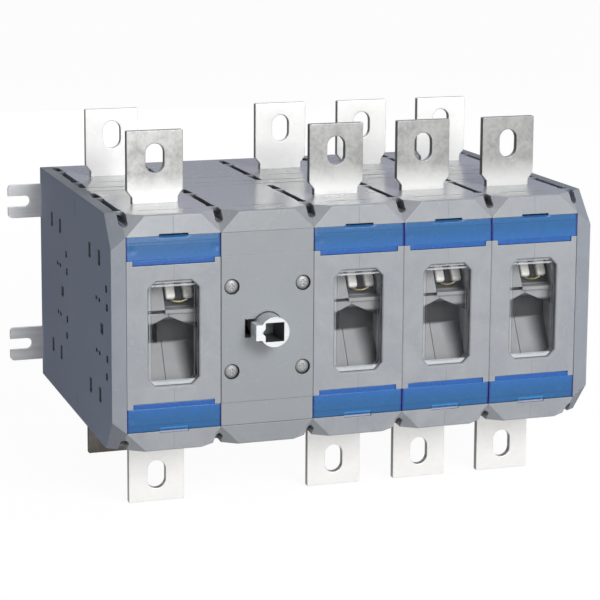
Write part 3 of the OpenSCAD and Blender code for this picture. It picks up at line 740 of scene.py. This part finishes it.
def clear_plastic(name, tone):
    """Clear pane: nearly see-through on its faces, with painted highlights where its edges catch light.

    A painted bright strip runs along the bottom, two painted bright lines along the top and one down the
    left.
    """
    material, tree, shader = start_material(name)
    edges = use_group(tree, shared("Round Edges", build_round_edges), Radius=0.25 * MM)
    marble = use_group(tree, shared("Marbling", build_marbling), Swirl_Scale=30.0, Grain_Scale=700.0)
    film = remap(tree, marble.outputs["Swirl"], 0.0, 1.0, 0.01, 0.025)
    sides = remap(tree, maths(tree, "ABSOLUTE", facing(tree)["Y"]), 0.9, 0.6, 0.0, 0.35)
    strip_height, strip_blur = 3.2 * MM, 0.8 * MM
    upper_drop, lower_drop, left_reach = 1.2 * MM, 3.4 * MM, 15.6 * MM
    height = place_in_frame(tree)["Z"]
    bottom, top = (corner[2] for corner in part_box("window_panes"))
    strip = remap(tree, height, bottom + strip_height, bottom + strip_height - strip_blur, 0.0, 0.8)
    upper = line_at(tree, height, top - upper_drop, 0.5 * MM)
    lower = line_at(tree, height, top - lower_drop, 0.4 * MM)
    left = line_at(tree, pole_place(tree), -left_reach, 0.25 * MM)
    lines = product(tree, greatest(tree, upper, lower, product(tree, left, 0.6)), 0.6)
    rim = product(tree, edges.outputs["Edge"], 0.5)
    # Painted highlights: the pane's sides, rimmed edges, bottom strip and lines turn less see-through.
    painted_edge_light = greatest(tree, sides, rim, strip, lines)
    tree.links.new(maths(tree, "ADD", film, painted_edge_light), shader.inputs["Alpha"])
    color = mix_colour(tree, marble.outputs["Swirl"], dimmed(tone, 0.92), tone)
    rough = remap(tree, marble.outputs["Swirl"], 0.0, 1.0, 0.06, 0.10)
    feed(tree, shader, color, rough, edges.outputs["Normal"], marble.outputs["Height"],
         depth=0.005 * MM, strength=0.1)
    shader.inputs["IOR"].default_value = 1.5
    return material


def zinc_metal(name, tone, gloss=0.35, metal=1.0, shade=None):
    """Zinc plated steel with fine drawn lines."""
    material, tree, shader = start_material(name)
    edges = use_group(tree, shared("Round Edges", build_round_edges), Radius=0.4 * MM)
    brushed = use_group(tree, shared("Brushed", build_brushed))
    color = shaded(tree, mix_colour(tree, brushed.outputs["Tone"], dimmed(tone, 0.78), tone), shade)
    rough = remap(tree, brushed.outputs["Tone"], 0.0, 1.0, gloss + 0.08, gloss - 0.05)
    feed(tree, shader, color, rough, edges.outputs["Normal"], brushed.outputs["Height"], depth=0.02 * MM)
    shader.inputs["Metallic"].default_value = metal
    return material


# ------------------------------------------------------------------- shapes


def rounded_loop(corners, radius, steps=3, spacing=4 * MM):
    """A closed outline through corners, each rounded by a small arc, with points along the straights."""
    corners = np.array(corners, float)
    before = unit(np.roll(corners, 1, axis=0) - corners)
    after = unit(np.roll(corners, -1, axis=0) - corners)
    half = np.arccos(np.clip((before * after).sum(1), -1, 1)) / 2
    reach = radius / np.tan(half)
    centre = corners + unit(before + after) * (radius / np.sin(half))[:, None]
    start = corners + before * reach[:, None]
    end = corners + after * reach[:, None]
    turn = np.linspace(0, 1, steps + 1)[None, :, None]
    arc = (start - centre)[:, None] * (1 - turn) + (end - centre)[:, None] * turn
    arc *= radius / np.linalg.norm(arc, axis=2)[..., None]
    arc += centre[:, None]
    points = []
    for index in range(len(corners)):
        points.append(arc[index])
        gap_start, gap_end = arc[index][-1], arc[(index + 1) % len(corners)][0]
        count = max(int(np.linalg.norm(gap_end - gap_start) / spacing), 1)
        share = np.linspace(0, 1, count + 1)[1:-1, None]
        points.append(gap_start * (1 - share) + gap_end * share)
    return np.concatenate(points)


def loop_normals(loop):
    """Unit vectors that point out of an anticlockwise closed outline."""
    along = unit(np.roll(loop, -1, axis=0) - np.roll(loop, 1, axis=0))
    return np.stack([along[:, 1], -along[:, 0]], axis=1)


def slot_loop(angle, half_width, half_straight):
    """Points of an upright slot with round ends, at the given angles round its middle.

    The reach is to the straight side where the ray meets it first, and else to the end's circle.
    """
    across, up = np.cos(angle), np.sin(angle)
    side = half_width / np.maximum(np.abs(across), 1e-9)
    end = half_straight * np.abs(up) + np.sqrt(half_width**2 - (half_straight * across) ** 2)
    reach = np.where(side * np.abs(up) <= half_straight, side, end)
    return np.stack([across * reach, up * reach], axis=1)


def slotted_plate(outline, centre, half_width, half_straight, front, back, radius, steps=3):
    """A plate across y with a slot, as one closed surface.

    Its section runs round the rim from front to back, along the rear face, through the slot to
    the front and along the front face; each edge of rim and slot is a quarter circle.
    """
    around = outline - centre
    angle = np.arctan2(around[:, 1], around[:, 0])
    hole = slot_loop(angle, half_width, half_straight) + centre
    turn = np.linspace(0, math.pi / 2, steps + 1)
    rim = [(radius * (1 - math.sin(t)), radius * (1 - math.cos(t))) for t in turn]
    rows = []
    for edge, outward, way in ((outline, loop_normals(outline), 1), (hole, -loop_normals(hole), -1)):
        across = [(edge - outward * inset, front + depth) for inset, depth in rim]
        across += [(edge - outward * inset, back - depth) for inset, depth in rim[::-1]]
        rows += across[::way]
    grid = np.stack([np.column_stack([row[:, 0], np.full(len(row), y), row[:, 1]]) for row, y in rows])
    return grid.reshape(-1, 3), grid_faces(len(rows), len(outline), wrap_rows=True, wrap_columns=True)


def terminal_bar(node):
    """A plated bar that stands up from the housing, or hangs from it, in the box of its node."""
    sizes = bpy.context.scene.switch_sizes
    low, high = box_of(node)
    upward = high[2] > -low[2]
    end, foot = (high[2], low[2]) if upward else (-low[2], -high[2])
    half, neck = (high[0] - low[0]) / 2, sizes.neck_width / 2
    shoulder = ROOF + sizes.shoulder
    slope_foot = shoulder - sizes.shoulder_slope
    corners = [
        (-neck, foot), (neck, foot), (neck, slope_foot), (half, shoulder),
        (half, end), (-half, end), (-half, shoulder), (-neck, slope_foot),
    ]
    outline = rounded_loop(corners, sizes.plate_corner)
    straight = (sizes.slot_length - sizes.slot_width) / 2
    slot_middle = np.array([0.0, end - sizes.slot_drop])
    points, faces = slotted_plate(outline, slot_middle, sizes.slot_width / 2, straight,
                                  low[1], high[1], sizes.plate_edge)
    points[:, 0] += (low[0] + high[0]) / 2
    points[:, 2] *= 1 if upward else -1
    return points, faces


def blue_cover(node):
    """A snap-on cover: a wide band with a leaning outer facet, and a narrow lip beside the window.

    Both are reliefs over x and z. The band's depth is the facet's lean, a groove at its foot, a
    slight lean of the main face, two round dents near the ends, a nail bevel, and rolled edges.
    A lower cover, which is an upper one turned over, also has a small tab.
    """
    sizes = bpy.context.scene.switch_sizes
    low, high = box_of(node)
    upward = low[2] > 0
    if not upward:
        low[2], high[2] = -high[2], -low[2]
    centre = (low[0] + high[0]) / 2
    half = (high[0] - low[0]) / 2
    seam = low[2] + sizes.lip_height
    roll = sizes.cover_round

    deepest = 3 * MM
    lip_back = 0.35 * MM
    face_lean = 0.35 * MM
    groove_depth, groove_half = 0.12 * MM, 0.35 * MM
    nail_half, nail_height = 9.5 * MM, 1.5 * MM
    dent_depth, dent_inset, dent_drop = 0.45 * MM, 3.4 * MM, 0.58 * (high[2] - seam)
    dent_half_width, dent_half_height = 1.5 * MM, 2.2 * MM

    def band_depth(x, z):
        drop = high[2] - z
        from_end = half - np.abs(x - centre)
        facet = sizes.facet_lean * np.clip(1 - drop / sizes.facet_height, 0, 1)
        groove = groove_depth * np.exp(-(((drop - sizes.facet_height) / groove_half) ** 2))
        main = face_lean * np.clip((z - seam) / (high[2] - seam), 0, 1)
        across = (from_end - dent_inset) / dent_half_width
        down = (drop - dent_drop) / dent_half_height
        dent = dent_depth * np.exp(-(across**2) - down**2)
        nail = np.where(np.abs(x - centre) < nail_half, np.clip(nail_height - drop, 0, None), 0.0)
        edges = rolled(from_end, roll) + rolled(drop, roll) + rolled(z - seam, roll)
        return np.minimum(facet + groove + main + dent + nail + edges, deepest)

    def lip_depth(x, z):
        from_end = sizes.lip_width / 2 - np.abs(x - centre)
        return lip_back + rolled(from_end, roll) + rolled(z - low[2], roll) + 0.25 * rolled(seam - z, roll)

    band = relief_block((low[0], low[1], seam), high, band_depth, 34, 40, roll)
    lip_low = (centre - sizes.lip_width / 2, low[1], low[2])
    lip_high = (centre + sizes.lip_width / 2, low[1] + 1.5 * MM, seam)
    shapes = [band, relief_block(lip_low, lip_high, lip_depth, 12, 8, roll)]
    if not upward:
        tab_low = (centre - sizes.tab_width / 2, low[1] + 0.5 * MM, high[2] - 0.1 * MM)
        tab_high = (centre + sizes.tab_width / 2, low[1] + 2 * MM, high[2] + sizes.tab_height)
        shapes.append(relief_block(tab_low, tab_high, lambda x, z: 0 * x, 8, 6, 0.2 * MM))
    for points, _ in shapes:
        points[:, 2] *= 1 if upward else -1
    return shapes


def leaning_finger(right, low, high):
    """A contact finger whose right side is at right, leaning back up its bay.

    Its rings lie across its own direction, closer together near the tip. Each is a rounded
    rectangle, a superellipse of power four in x and in the finger's thickness, and both widths
    close in near the tip.
    """
    sizes = bpy.context.scene.switch_sizes
    sine, cosine = math.sin(sizes.finger_lean), math.cos(sizes.finger_lean)
    half = np.array([sizes.finger_width / 2, sizes.finger_depth * cosine / 2])
    top = np.array([high[1] - sizes.finger_depth / 2, high[2]])
    run = (high[2] - low[2] - half[1]) / cosine + half[1]
    tip_round = np.array([1.9 * MM, half[1]])
    longest = tip_round.max()
    near_tip = longest * (1 - np.cos(np.linspace(0.08, math.pi / 2, 12)))
    from_tip = np.concatenate([near_tip, np.linspace(longest, run, 8)[1:]])
    width = half - rolled(from_tip[:, None], tip_round)
    angle = np.linspace(0, 2 * math.pi, 40, endpoint=False)
    round_x = np.sign(np.cos(angle)) * np.sqrt(np.abs(np.cos(angle)))
    round_n = np.sign(np.sin(angle)) * np.sqrt(np.abs(np.sin(angle)))
    x = right - half[0] + width[:, :1] * round_x
    normal = width[:, 1:] * round_n
    back = (run - from_tip)[:, None]
    y = top[0] - back * sine - normal * cosine
    z = top[1] - back * cosine + normal * sine
    return tube(np.stack([x, y, z], axis=-1))


def contact_bridge(left, right, low):
    """The brass bridge under two finger tips: a rod along half an ellipse that hangs between them."""
    radius = bpy.context.scene.switch_sizes.bridge_radius
    rise, drop = 1.2 * MM, 3.2 * MM
    angle = np.linspace(0, math.pi, 24)
    x = (left + right) / 2 - (right - left) / 2 * np.cos(angle)
    z = low[2] + rise - drop * np.sin(angle)
    path = np.stack([x, np.full_like(x, low[1] + 1.6 * radius), z], axis=1)
    return rod_along(path, radius)


def domed_screw(centre_x, centre_z, front, back):
    """A cover screw turned about y, with a domed head and a cross recess.

    The head's face is a polar grid. Its depth is a parabola that falls to the rim, plus the
    recess, whose two arms have soft walls. Behind the rim the rings step in to the shank.
    """
    sizes = bpy.context.scene.switch_sizes
    rim, shank, pole = sizes.screw_head / 2, sizes.screw_shank / 2, 0.05 * MM
    behind = front + sizes.screw_head_height
    step, bevel = 0.4 * MM, 0.3 * MM
    wall_slope, end_slope = 0.25 * MM, 0.6 * MM
    rings = 26
    radius = np.concatenate([np.linspace(0.02 * rim, 0.96 * rim, rings), [rim]])
    profile = list(zip(radius, front + sizes.screw_dome * (radius / rim) ** 2))
    profile += [(rim, behind - step), (rim - bevel, behind), (shank, behind), (shank, back), (pole, back)]
    grid = turned(profile)
    x, z = grid[:rings, :, 0], grid[:rings, :, 2]

    def arm(along, across):
        walls = np.clip((sizes.recess_width / 2 - np.abs(across)) / wall_slope + 0.5, 0, 1)
        return walls * np.clip((sizes.recess_reach - np.abs(along)) / end_slope, 0, 1)

    grid[:rings, :, 1] += sizes.recess_depth * np.maximum(arm(x, z), arm(z, x))
    grid[..., 0] += centre_x
    grid[..., 2] += centre_z
    return tube(grid)


# ---------------------------------------------------------------- operators


class SWITCH_OT_housings(bpy.types.Operator):
    """Gives the moulded housings and end plates their marbled grey"""

    bl_idname = "switch.housings"
    bl_label = "Housings"

    def execute(self, context):
        colours = context.scene.switch_colours

        def flank_painted_light(tree):
            """Painted light: the plates' outer sides, which face along x, take a lighter, bluer grey for the
            cool light in their shade.
            """
            return ((side_facing(tree), colours.flank_painted_light),)

        for deck, lift in (("front", 0.17), ("rear", 0.53)):
            for pole in POLES:
                moulding = moulded_plastic(f"{deck}_housing_{pole}_moulding", colours.housing,
                                           colours.housing_dark, shift=(0.31 * pole, lift, 0.0))
                dress(f"{deck}_pole_housing_{pole}", moulding)
            moulding = moulded_plastic(f"{deck}_mechanism_moulding", colours.cover,
                                       dimmed(colours.cover, 0.93), swirl_scale=14.0)
            dress(f"{deck}_mechanism_housing", moulding)
        for side in ("left", "right"):
            moulding = moulded_plastic(f"{side}_end_moulding", colours.end_plate,
                                       dimmed(colours.end_plate, 0.92), swirl_scale=12.0,
                                       gloss=0.6, ior=1.3, shade=flank_painted_light)
            dress(f"{side}_end_plate", moulding)
        return {"FINISHED"}


class SWITCH_OT_mechanism_cover(bpy.types.Operator):
    """Gives the mechanism cover its smooth grain"""

    bl_idname = "switch.mechanism_cover"
    bl_label = "Mechanism cover"

    def execute(self, context):
        colours = context.scene.switch_colours
        moulding = moulded_plastic("cover_moulding", colours.cover, dimmed(colours.cover, 0.96),
                                   swirl_scale=10.0, gloss=0.36, painted_edge_highlight=0.1)
        dress("mechanism_cover", moulding)
        return {"FINISHED"}


class SWITCH_OT_blue_covers(bpy.types.Operator):
    """Makes the snap-on blue covers above and below each window"""

    bl_idname = "switch.blue_covers"
    bl_label = "Blue covers"

    def execute(self, context):
        colours = context.scene.switch_colours
        sizes = context.scene.switch_sizes
        low, high = (corner[2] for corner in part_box("upper_blue_cover_1"))
        left, right = (corner[0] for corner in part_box("upper_blue_cover_2"))
        half = (right - left) / 2

        def bands(tree):
            """Painted light on the covers: a paler sheen towards the lip, painted shade at the facet's foot
            and at the ends, and a painted highlight by a tab.
            """
            away = height_place(tree)
            across = maths(tree, "ABSOLUTE", pole_place(tree))
            # Painted sheen, paler towards the lip.
            painted_sheen = remap(tree, away, high - 8 * MM, low + sizes.lip_height, 0.0, 0.9)
            # Painted shade along the groove at the facet's foot.
            line = line_at(tree, away, high - sizes.facet_height, 0.4 * MM)
            # Painted shade at each cover's ends.
            end = remap(tree, across, half - 1.4 * MM, half - 0.7 * MM, 0.0, 0.85)
            # Painted highlight on the lower covers by their tabs.
            near_edge = remap(tree, away, high - 2.6 * MM, high - 2.2 * MM)
            by_tab = remap(tree, across, sizes.tab_width / 2, sizes.tab_width / 2 - 0.4 * MM)
            beneath = remap(tree, place_in_frame(tree)["Z"], 0.0, -1 * MM)
            return (
                (painted_sheen, colours.blue_painted_sheen),
                (line, dimmed(colours.blue, 0.8)),
                (end, colours.navy_end_shade),
                (product(tree, near_edge, by_tab, beneath), colours.tab_painted_shine),
            )

        band = blue_plastic("blue_cover_plastic", colours.blue, dimmed(colours.blue, 0.9), bands)
        lip = blue_plastic("blue_lip_plastic", colours.blue_lip, dimmed(colours.blue_lip, 0.9))
        tab = blue_plastic("tab_plastic", colours.tab, dimmed(colours.tab, 0.9))
        for level, finishes in (("upper", [band, lip]), ("lower", [band, lip, tab])):
            for pole in POLES:
                node = f"{level}_blue_cover_{pole}"
                cover = mesh_object(f"{level}_snap_cover_{pole}", blue_cover(node), finishes)
                settle(cover, nodes=[node])
        return {"FINISHED"}


class SWITCH_OT_terminals(bpy.types.Operator):
    """Makes the sixteen slotted terminal bars"""

    bl_idname = "switch.terminals"
    bl_label = "Terminal bars"

    def execute(self, context):
        colours = context.scene.switch_colours
        silvery = (colours.plating, colours.plating_dull)
        finishes = {
            # The upper front bars get a painted shaded copy of the plating, and a painted reflection near the
            # housing.
            ("upper", "front"): plated_metal("clouded_bars", colours.shaded_front_plating, colours.shaded_front_plating_dull,
                                             mottle=1.0, sheared_and_shaded=True, root=colours.root),
            # Painted light: the upper rear bars get a brighter copy of the plating.
            ("upper", "rear"): plated_metal("fresh_bars", colours.lit_rear_plating, dimmed(colours.lit_rear_plating, 0.94),
                                            gloss=0.45, metal=0.5, sheared_and_shaded=True),
            ("lower", "front"): plated_metal("lower_bars", *silvery, sheared_and_shaded=True),
            ("lower", "rear"): plated_metal("dull_bars", *silvery, shift=(0.4, 0.1, 0.2), sheared_and_shaded=True),
        }
        # Painted shade on the lower rear bar at the left.
        shaded_left_bar = plated_metal("tarnished_bar", colours.shaded_left_bar, dimmed(colours.shaded_left_bar, 0.6),
                                 sheared_and_shaded=True)
        for (level, deck), finish in finishes.items():
            for pole in POLES:
                node = f"{level}_{deck}_terminal_{pole}"
                plating = shaded_left_bar if node == "lower_rear_terminal_1" else finish
                bar = mesh_object(f"{level}_{deck}_bar_{pole}", [terminal_bar(node)], plating)
                weigh_normals(bar)
                settle(bar, nodes=[node])
        return {"FINISHED"}


class SWITCH_OT_chambers(bpy.types.Operator):
    """Makes what shows inside the windows: insert, fingers, brass bridge and clear pane"""

    bl_idname = "switch.chambers"
    bl_label = "Arc chambers"

    def execute(self, context):
        colours = context.scene.switch_colours
        sizes = context.scene.switch_sizes
        boxes = {pole: box_beside("contact_fingers", f"front_pole_housing_{pole}") for pole in POLES}
        low, high = boxes[1]
        foot, top = float(low[2]), float(high[2])
        before_fingers = 2.5 * MM
        bay_front = float(high[1] - sizes.finger_depth - before_fingers)
        front = float(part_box("front_mechanism_housing")[0][1])

        def painted_shade(tree):
            """Painted shade in the contact bay, behind its leaning face, and at the back of the chamber
            below.

            That face's y grows with z. In the lower chamber a painted shadow darkens it towards its right and
            its gable.
            """
            place = place_in_frame(tree)
            lean = product(tree, less(tree, place["Z"], top), math.tan(sizes.finger_lean))
            inside = remap(tree, less(tree, less(tree, place["Y"], bay_front), lean), 0.8 * MM, 2.5 * MM)
            above = remap(tree, place["Z"], foot - 5 * MM, foot - 4 * MM)
            bay = product(tree, inside, above, 0.95)
            below = remap(tree, place["Z"], foot - 13 * MM, foot - 15 * MM)
            deep = remap(tree, place["Y"], front + 12.6 * MM, front + 13.4 * MM)
            # The painted shadow on the right starts 3 mm further left at the gable than at the bottom.
            rising = remap(tree, place["Z"], -34 * MM, -10 * MM)
            from_left = maths(tree, "ADD", pole_place(tree), product(tree, rising, 3 * MM))
            right = remap(tree, from_left, 8 * MM, 20 * MM, 0.0, 0.93)
            gable = remap(tree, place["Z"], -13 * MM, -11 * MM, 0.0, 0.98)
            shadow = product(tree, below, deep, greatest(tree, right, gable))
            return ((greatest(tree, bay, shadow), colours.painted_shade),)

        moulding = moulded_plastic("insert_moulding", colours.insert, dimmed(colours.insert, 0.93),
                                   swirl_scale=40.0, gloss=0.5, groove_shade_share=0.8, ior=1.2, shade=painted_shade)
        dress("arc_chamber_inserts", moulding)
        dress("window_panes", clear_plastic("pane_plastic", colours.pane))
        silver = plated_metal("finger_silver", colours.silver, colours.plating,
                              mottle=0.3, gloss=0.5, metal=0.1)
        brass = plated_metal("bridge_brass", colours.brass, dimmed(colours.brass, 0.5),
                             mottle=0.8, metal=0.8)
        fingers, bridges = [], []
        for low, high in boxes.values():
            for right in (high[0], low[0] + sizes.finger_width):
                fingers.append(leaning_finger(right, low, high))
            half = sizes.finger_width / 2
            bridges.append(contact_bridge(low[0] + half, high[0] - half, low))
        settle(mesh_object("silver_fingers", fingers, silver), nodes=["contact_fingers"])
        settle(mesh_object("brass_bridges", bridges, brass))
        return {"FINISHED"}


class SWITCH_OT_shaft(bpy.types.Operator):
    """Finishes the shaft coupling, with painted shade inside its socket, and its set screw"""

    bl_idname = "switch.shaft"
    bl_label = "Drive shaft"

    def execute(self, context):
        colours = context.scene.switch_colours
        sizes = context.scene.switch_sizes
        centre = float(middle("mechanism_cover")[0])
        front = float(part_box("drive_shaft")[0][1])

        def painted_socket_shade(tree):
            """Painted shade inside the square socket, from just behind its mouth."""
            place = place_in_frame(tree)
            aside = maths(tree, "ABSOLUTE", less(tree, place["X"], centre))
            reach = greatest(tree, aside, height_place(tree))
            within = remap(tree, reach, sizes.socket_width / 2 + 0.1 * MM, sizes.socket_width / 2)
            deep = remap(tree, place["Y"], front + 0.2 * MM, front + 0.8 * MM)
            return ((product(tree, within, deep), colours.socket_shade),)

        dress("drive_shaft", zinc_metal("coupling_zinc", colours.bright, gloss=0.42, metal=0.6, shade=painted_socket_shade))
        dress("set_screw", zinc_metal("set_screw_zinc", colours.zinc))
        return {"FINISHED"}


class SWITCH_OT_fasteners(bpy.types.Operator):
    """Makes the four cover screws"""

    bl_idname = "switch.fasteners"
    bl_label = "Fasteners"

    def execute(self, context):
        colours = context.scene.switch_colours
        sizes = context.scene.switch_sizes
        low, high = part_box("cover_screws")
        inset = sizes.screw_head / 2
        screws = []
        for x in (low[0] + inset, high[0] - inset):
            for z in (low[2] + inset, high[2] - inset):
                screws.append(domed_screw(x, z, low[1], high[1]))
        finish = zinc_metal("screw_zinc", colours.dull_zinc, gloss=0.5, metal=0.6)
        settle(mesh_object("domed_cover_screws", screws, finish), nodes=["cover_screws"])
        return {"FINISHED"}


class SWITCH_OT_rails(bpy.types.Operator):
    """Finishes the mounting rails"""

    bl_idname = "switch.rails"
    bl_label = "Mounting rails"

    def execute(self, context):
        colours = context.scene.switch_colours
        finish = zinc_metal("rail_zinc", colours.zinc, gloss=0.42)
        for level in ("upper", "lower"):
            dress(f"{level}_mounting_rail", finish)
        return {"FINISHED"}


def lamp(name, place, target, size, energy):
    """A square soft lamp at a place, turned to a target."""
    light = bpy.data.lights.new(name, "AREA")
    light.shape = "SQUARE"
    light.size = size
    light.energy = energy
    made = place_object(name, light)
    made.location = place
    made.rotation_euler = (Vector(target) - Vector(place)).to_track_quat("-Z", "Y").to_euler()
    return made


def white_for_views(tree):
    """The rays that see the studio itself, as two masks.

    The first is of the camera's rays and of those through glass or off gloss, the second of
    those off gloss alone.
    """
    path = tree.nodes.new("ShaderNodeLightPath").outputs
    glossy = path["Is Glossy Ray"]
    return greatest(tree, path["Is Camera Ray"], path["Is Transmission Ray"], glossy), glossy


def studio_world(strength, backdrop):
    """Soft light from all round, and a white studio for the camera.

    Reflections see that white fall to the backdrop's colour low down at the back.
    """
    world = bpy.data.worlds.new("studio")
    bpy.context.scene.world = world
    world.use_nodes = True
    tree = world.node_tree
    tree.nodes.clear()
    sees, glossy = white_for_views(tree)
    way = parts_of(tree, tree.nodes.new("ShaderNodeTexCoord").outputs["Generated"])
    backward = remap(tree, way["Y"], 0.1, 0.5)
    lowdown = remap(tree, way["Z"], 0.75, 0.45)
    seen = mix_colour(tree, product(tree, backward, lowdown, glossy), (1.0, 1.0, 1.0), backdrop)
    soft = add(tree, "ShaderNodeBackground", Color=(1.0, 1.0, 1.0, 1.0), Strength=strength)
    white = add(tree, "ShaderNodeBackground", Color=seen, Strength=1.0)
    out = tree.nodes.new("ShaderNodeOutputWorld")
    tree.links.new(mix_shader(tree, sees, soft.outputs[0], white.outputs[0]), out.inputs["Surface"])


def floor_paint(tone):
    """Pale paint that looks white and keeps a faint shadow.

    In reflections its white dims between the switch's front and its back.
    """
    material, tree, shader = start_material("floor_paint")
    shader.inputs["Base Color"].default_value = (*tone, 1.0)
    shader.inputs["Roughness"].default_value = 0.9
    sees, glossy = white_for_views(tree)
    behind = remap(tree, place_in_frame(tree)["Y"], -0.2, 0.0)
    glow = remap(tree, product(tree, behind, glossy), 0.0, 1.0, 1.12, 0.3)
    white = add(tree, "ShaderNodeEmission", Color=(1.0, 1.0, 1.0, 1.0), Strength=glow)
    surface = mix_shader(tree, product(tree, sees, 0.85), shader.outputs[0], white.outputs[0])
    tree.links.new(surface, tree.nodes["Material Output"].inputs["Surface"])
    return material


def studio_floor(tone):
    """A wide level floor just below the switch."""
    reach, gap = 6.0, 1 * MM
    level = CAD_BOX[0][2] - gap
    corners = [(-reach, -reach, level), (reach, -reach, level), (reach, reach, level), (-reach, reach, level)]
    mesh = bpy.data.meshes.new("studio_floor")
    mesh.from_pydata(corners, [], [(0, 1, 2, 3)])
    mesh.materials.append(floor_paint(tone))
    place_object("studio_floor", mesh)


# Where each lamp stands, how wide it is, and whether the camera and reflections see it.
LAMPS = {
    "key": ((0.44, -2.1, 1.0), 0.9, True),
    "fill": ((0.05, -2.0, 0.06), 0.5, True),
    "back": ((0.4, 1.8, 1.2), 1.2, True),
    "rear": ((0.1, 2.0, 0.05), 0.6, False),
}


class SWITCH_OT_stage(bpy.types.Operator):
    """Sets the camera, the lamps, the sky and the floor"""

    bl_idname = "switch.stage"
    bl_label = "Stage"

    def execute(self, context):
        stage = context.scene.switch_stage
        camera = bpy.data.cameras.new("camera")
        camera.lens = stage.lens
        camera.sensor_width = 36.0
        camera.shift_x, camera.shift_y = stage.shift
        camera.clip_end = 30.0
        eye = place_object("camera", camera)
        eye.location = stage.camera_place
        eye.rotation_euler = stage.camera_turn
        context.scene.camera = eye
        centre = [(low + high) / 2 for low, high in zip(*CAD_BOX)]
        for name, (place, width, seen) in LAMPS.items():
            made = lamp(name, place, centre, width, getattr(stage, f"{name}_power"))
            made.visible_camera = seen
            made.visible_glossy = seen
        studio_world(stage.sky, stage.backdrop)
        studio_floor(context.scene.switch_colours.floor)
        context.scene.view_settings.view_transform = "Standard"
        return {"FINISHED"}


class SWITCH_PT_panel(bpy.types.Panel):
    """Lists the steps that dress the switch"""

    bl_label = "Load break switch"
    bl_idname = "SWITCH_PT_panel"
    bl_space_type = "VIEW_3D"
    bl_region_type = "UI"
    bl_category = "Switch"

    def draw(self, context):
        for step in STEPS:
            self.layout.operator(step.bl_idname)
        for group in (context.scene.switch_sizes, context.scene.switch_colours, context.scene.switch_stage):
            for key in group.bl_rna.properties.keys():
                if key not in {"rna_type", "name"}:
                    self.layout.prop(group, key)


STEPS = (
    SWITCH_OT_stage,
    SWITCH_OT_housings,
    SWITCH_OT_mechanism_cover,
    SWITCH_OT_blue_covers,
    SWITCH_OT_terminals,
    SWITCH_OT_chambers,
    SWITCH_OT_shaft,
    SWITCH_OT_fasteners,
    SWITCH_OT_rails,
)
CLASSES = (SwitchSizes, SwitchColours, SwitchStage, *STEPS, SWITCH_PT_panel)


def register():
    for one in CLASSES:
        bpy.utils.register_class(one)
    bpy.types.Scene.switch_sizes = PointerProperty(type=SwitchSizes)
    bpy.types.Scene.switch_colours = PointerProperty(type=SwitchColours)
    bpy.types.Scene.switch_stage = PointerProperty(type=SwitchStage)


def unregister():
    del bpy.types.Scene.switch_stage
    del bpy.types.Scene.switch_colours
    del bpy.types.Scene.switch_sizes
    for one in reversed(CLASSES):
        bpy.utils.unregister_class(one)


def main():
    """Registers the add-on and runs its steps in order."""
    register()
    for step in STEPS:
        group, name = step.bl_idname.split(".")
        getattr(getattr(bpy.ops, group), name)()
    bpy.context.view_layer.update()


if __name__ == "__main__":
    main()
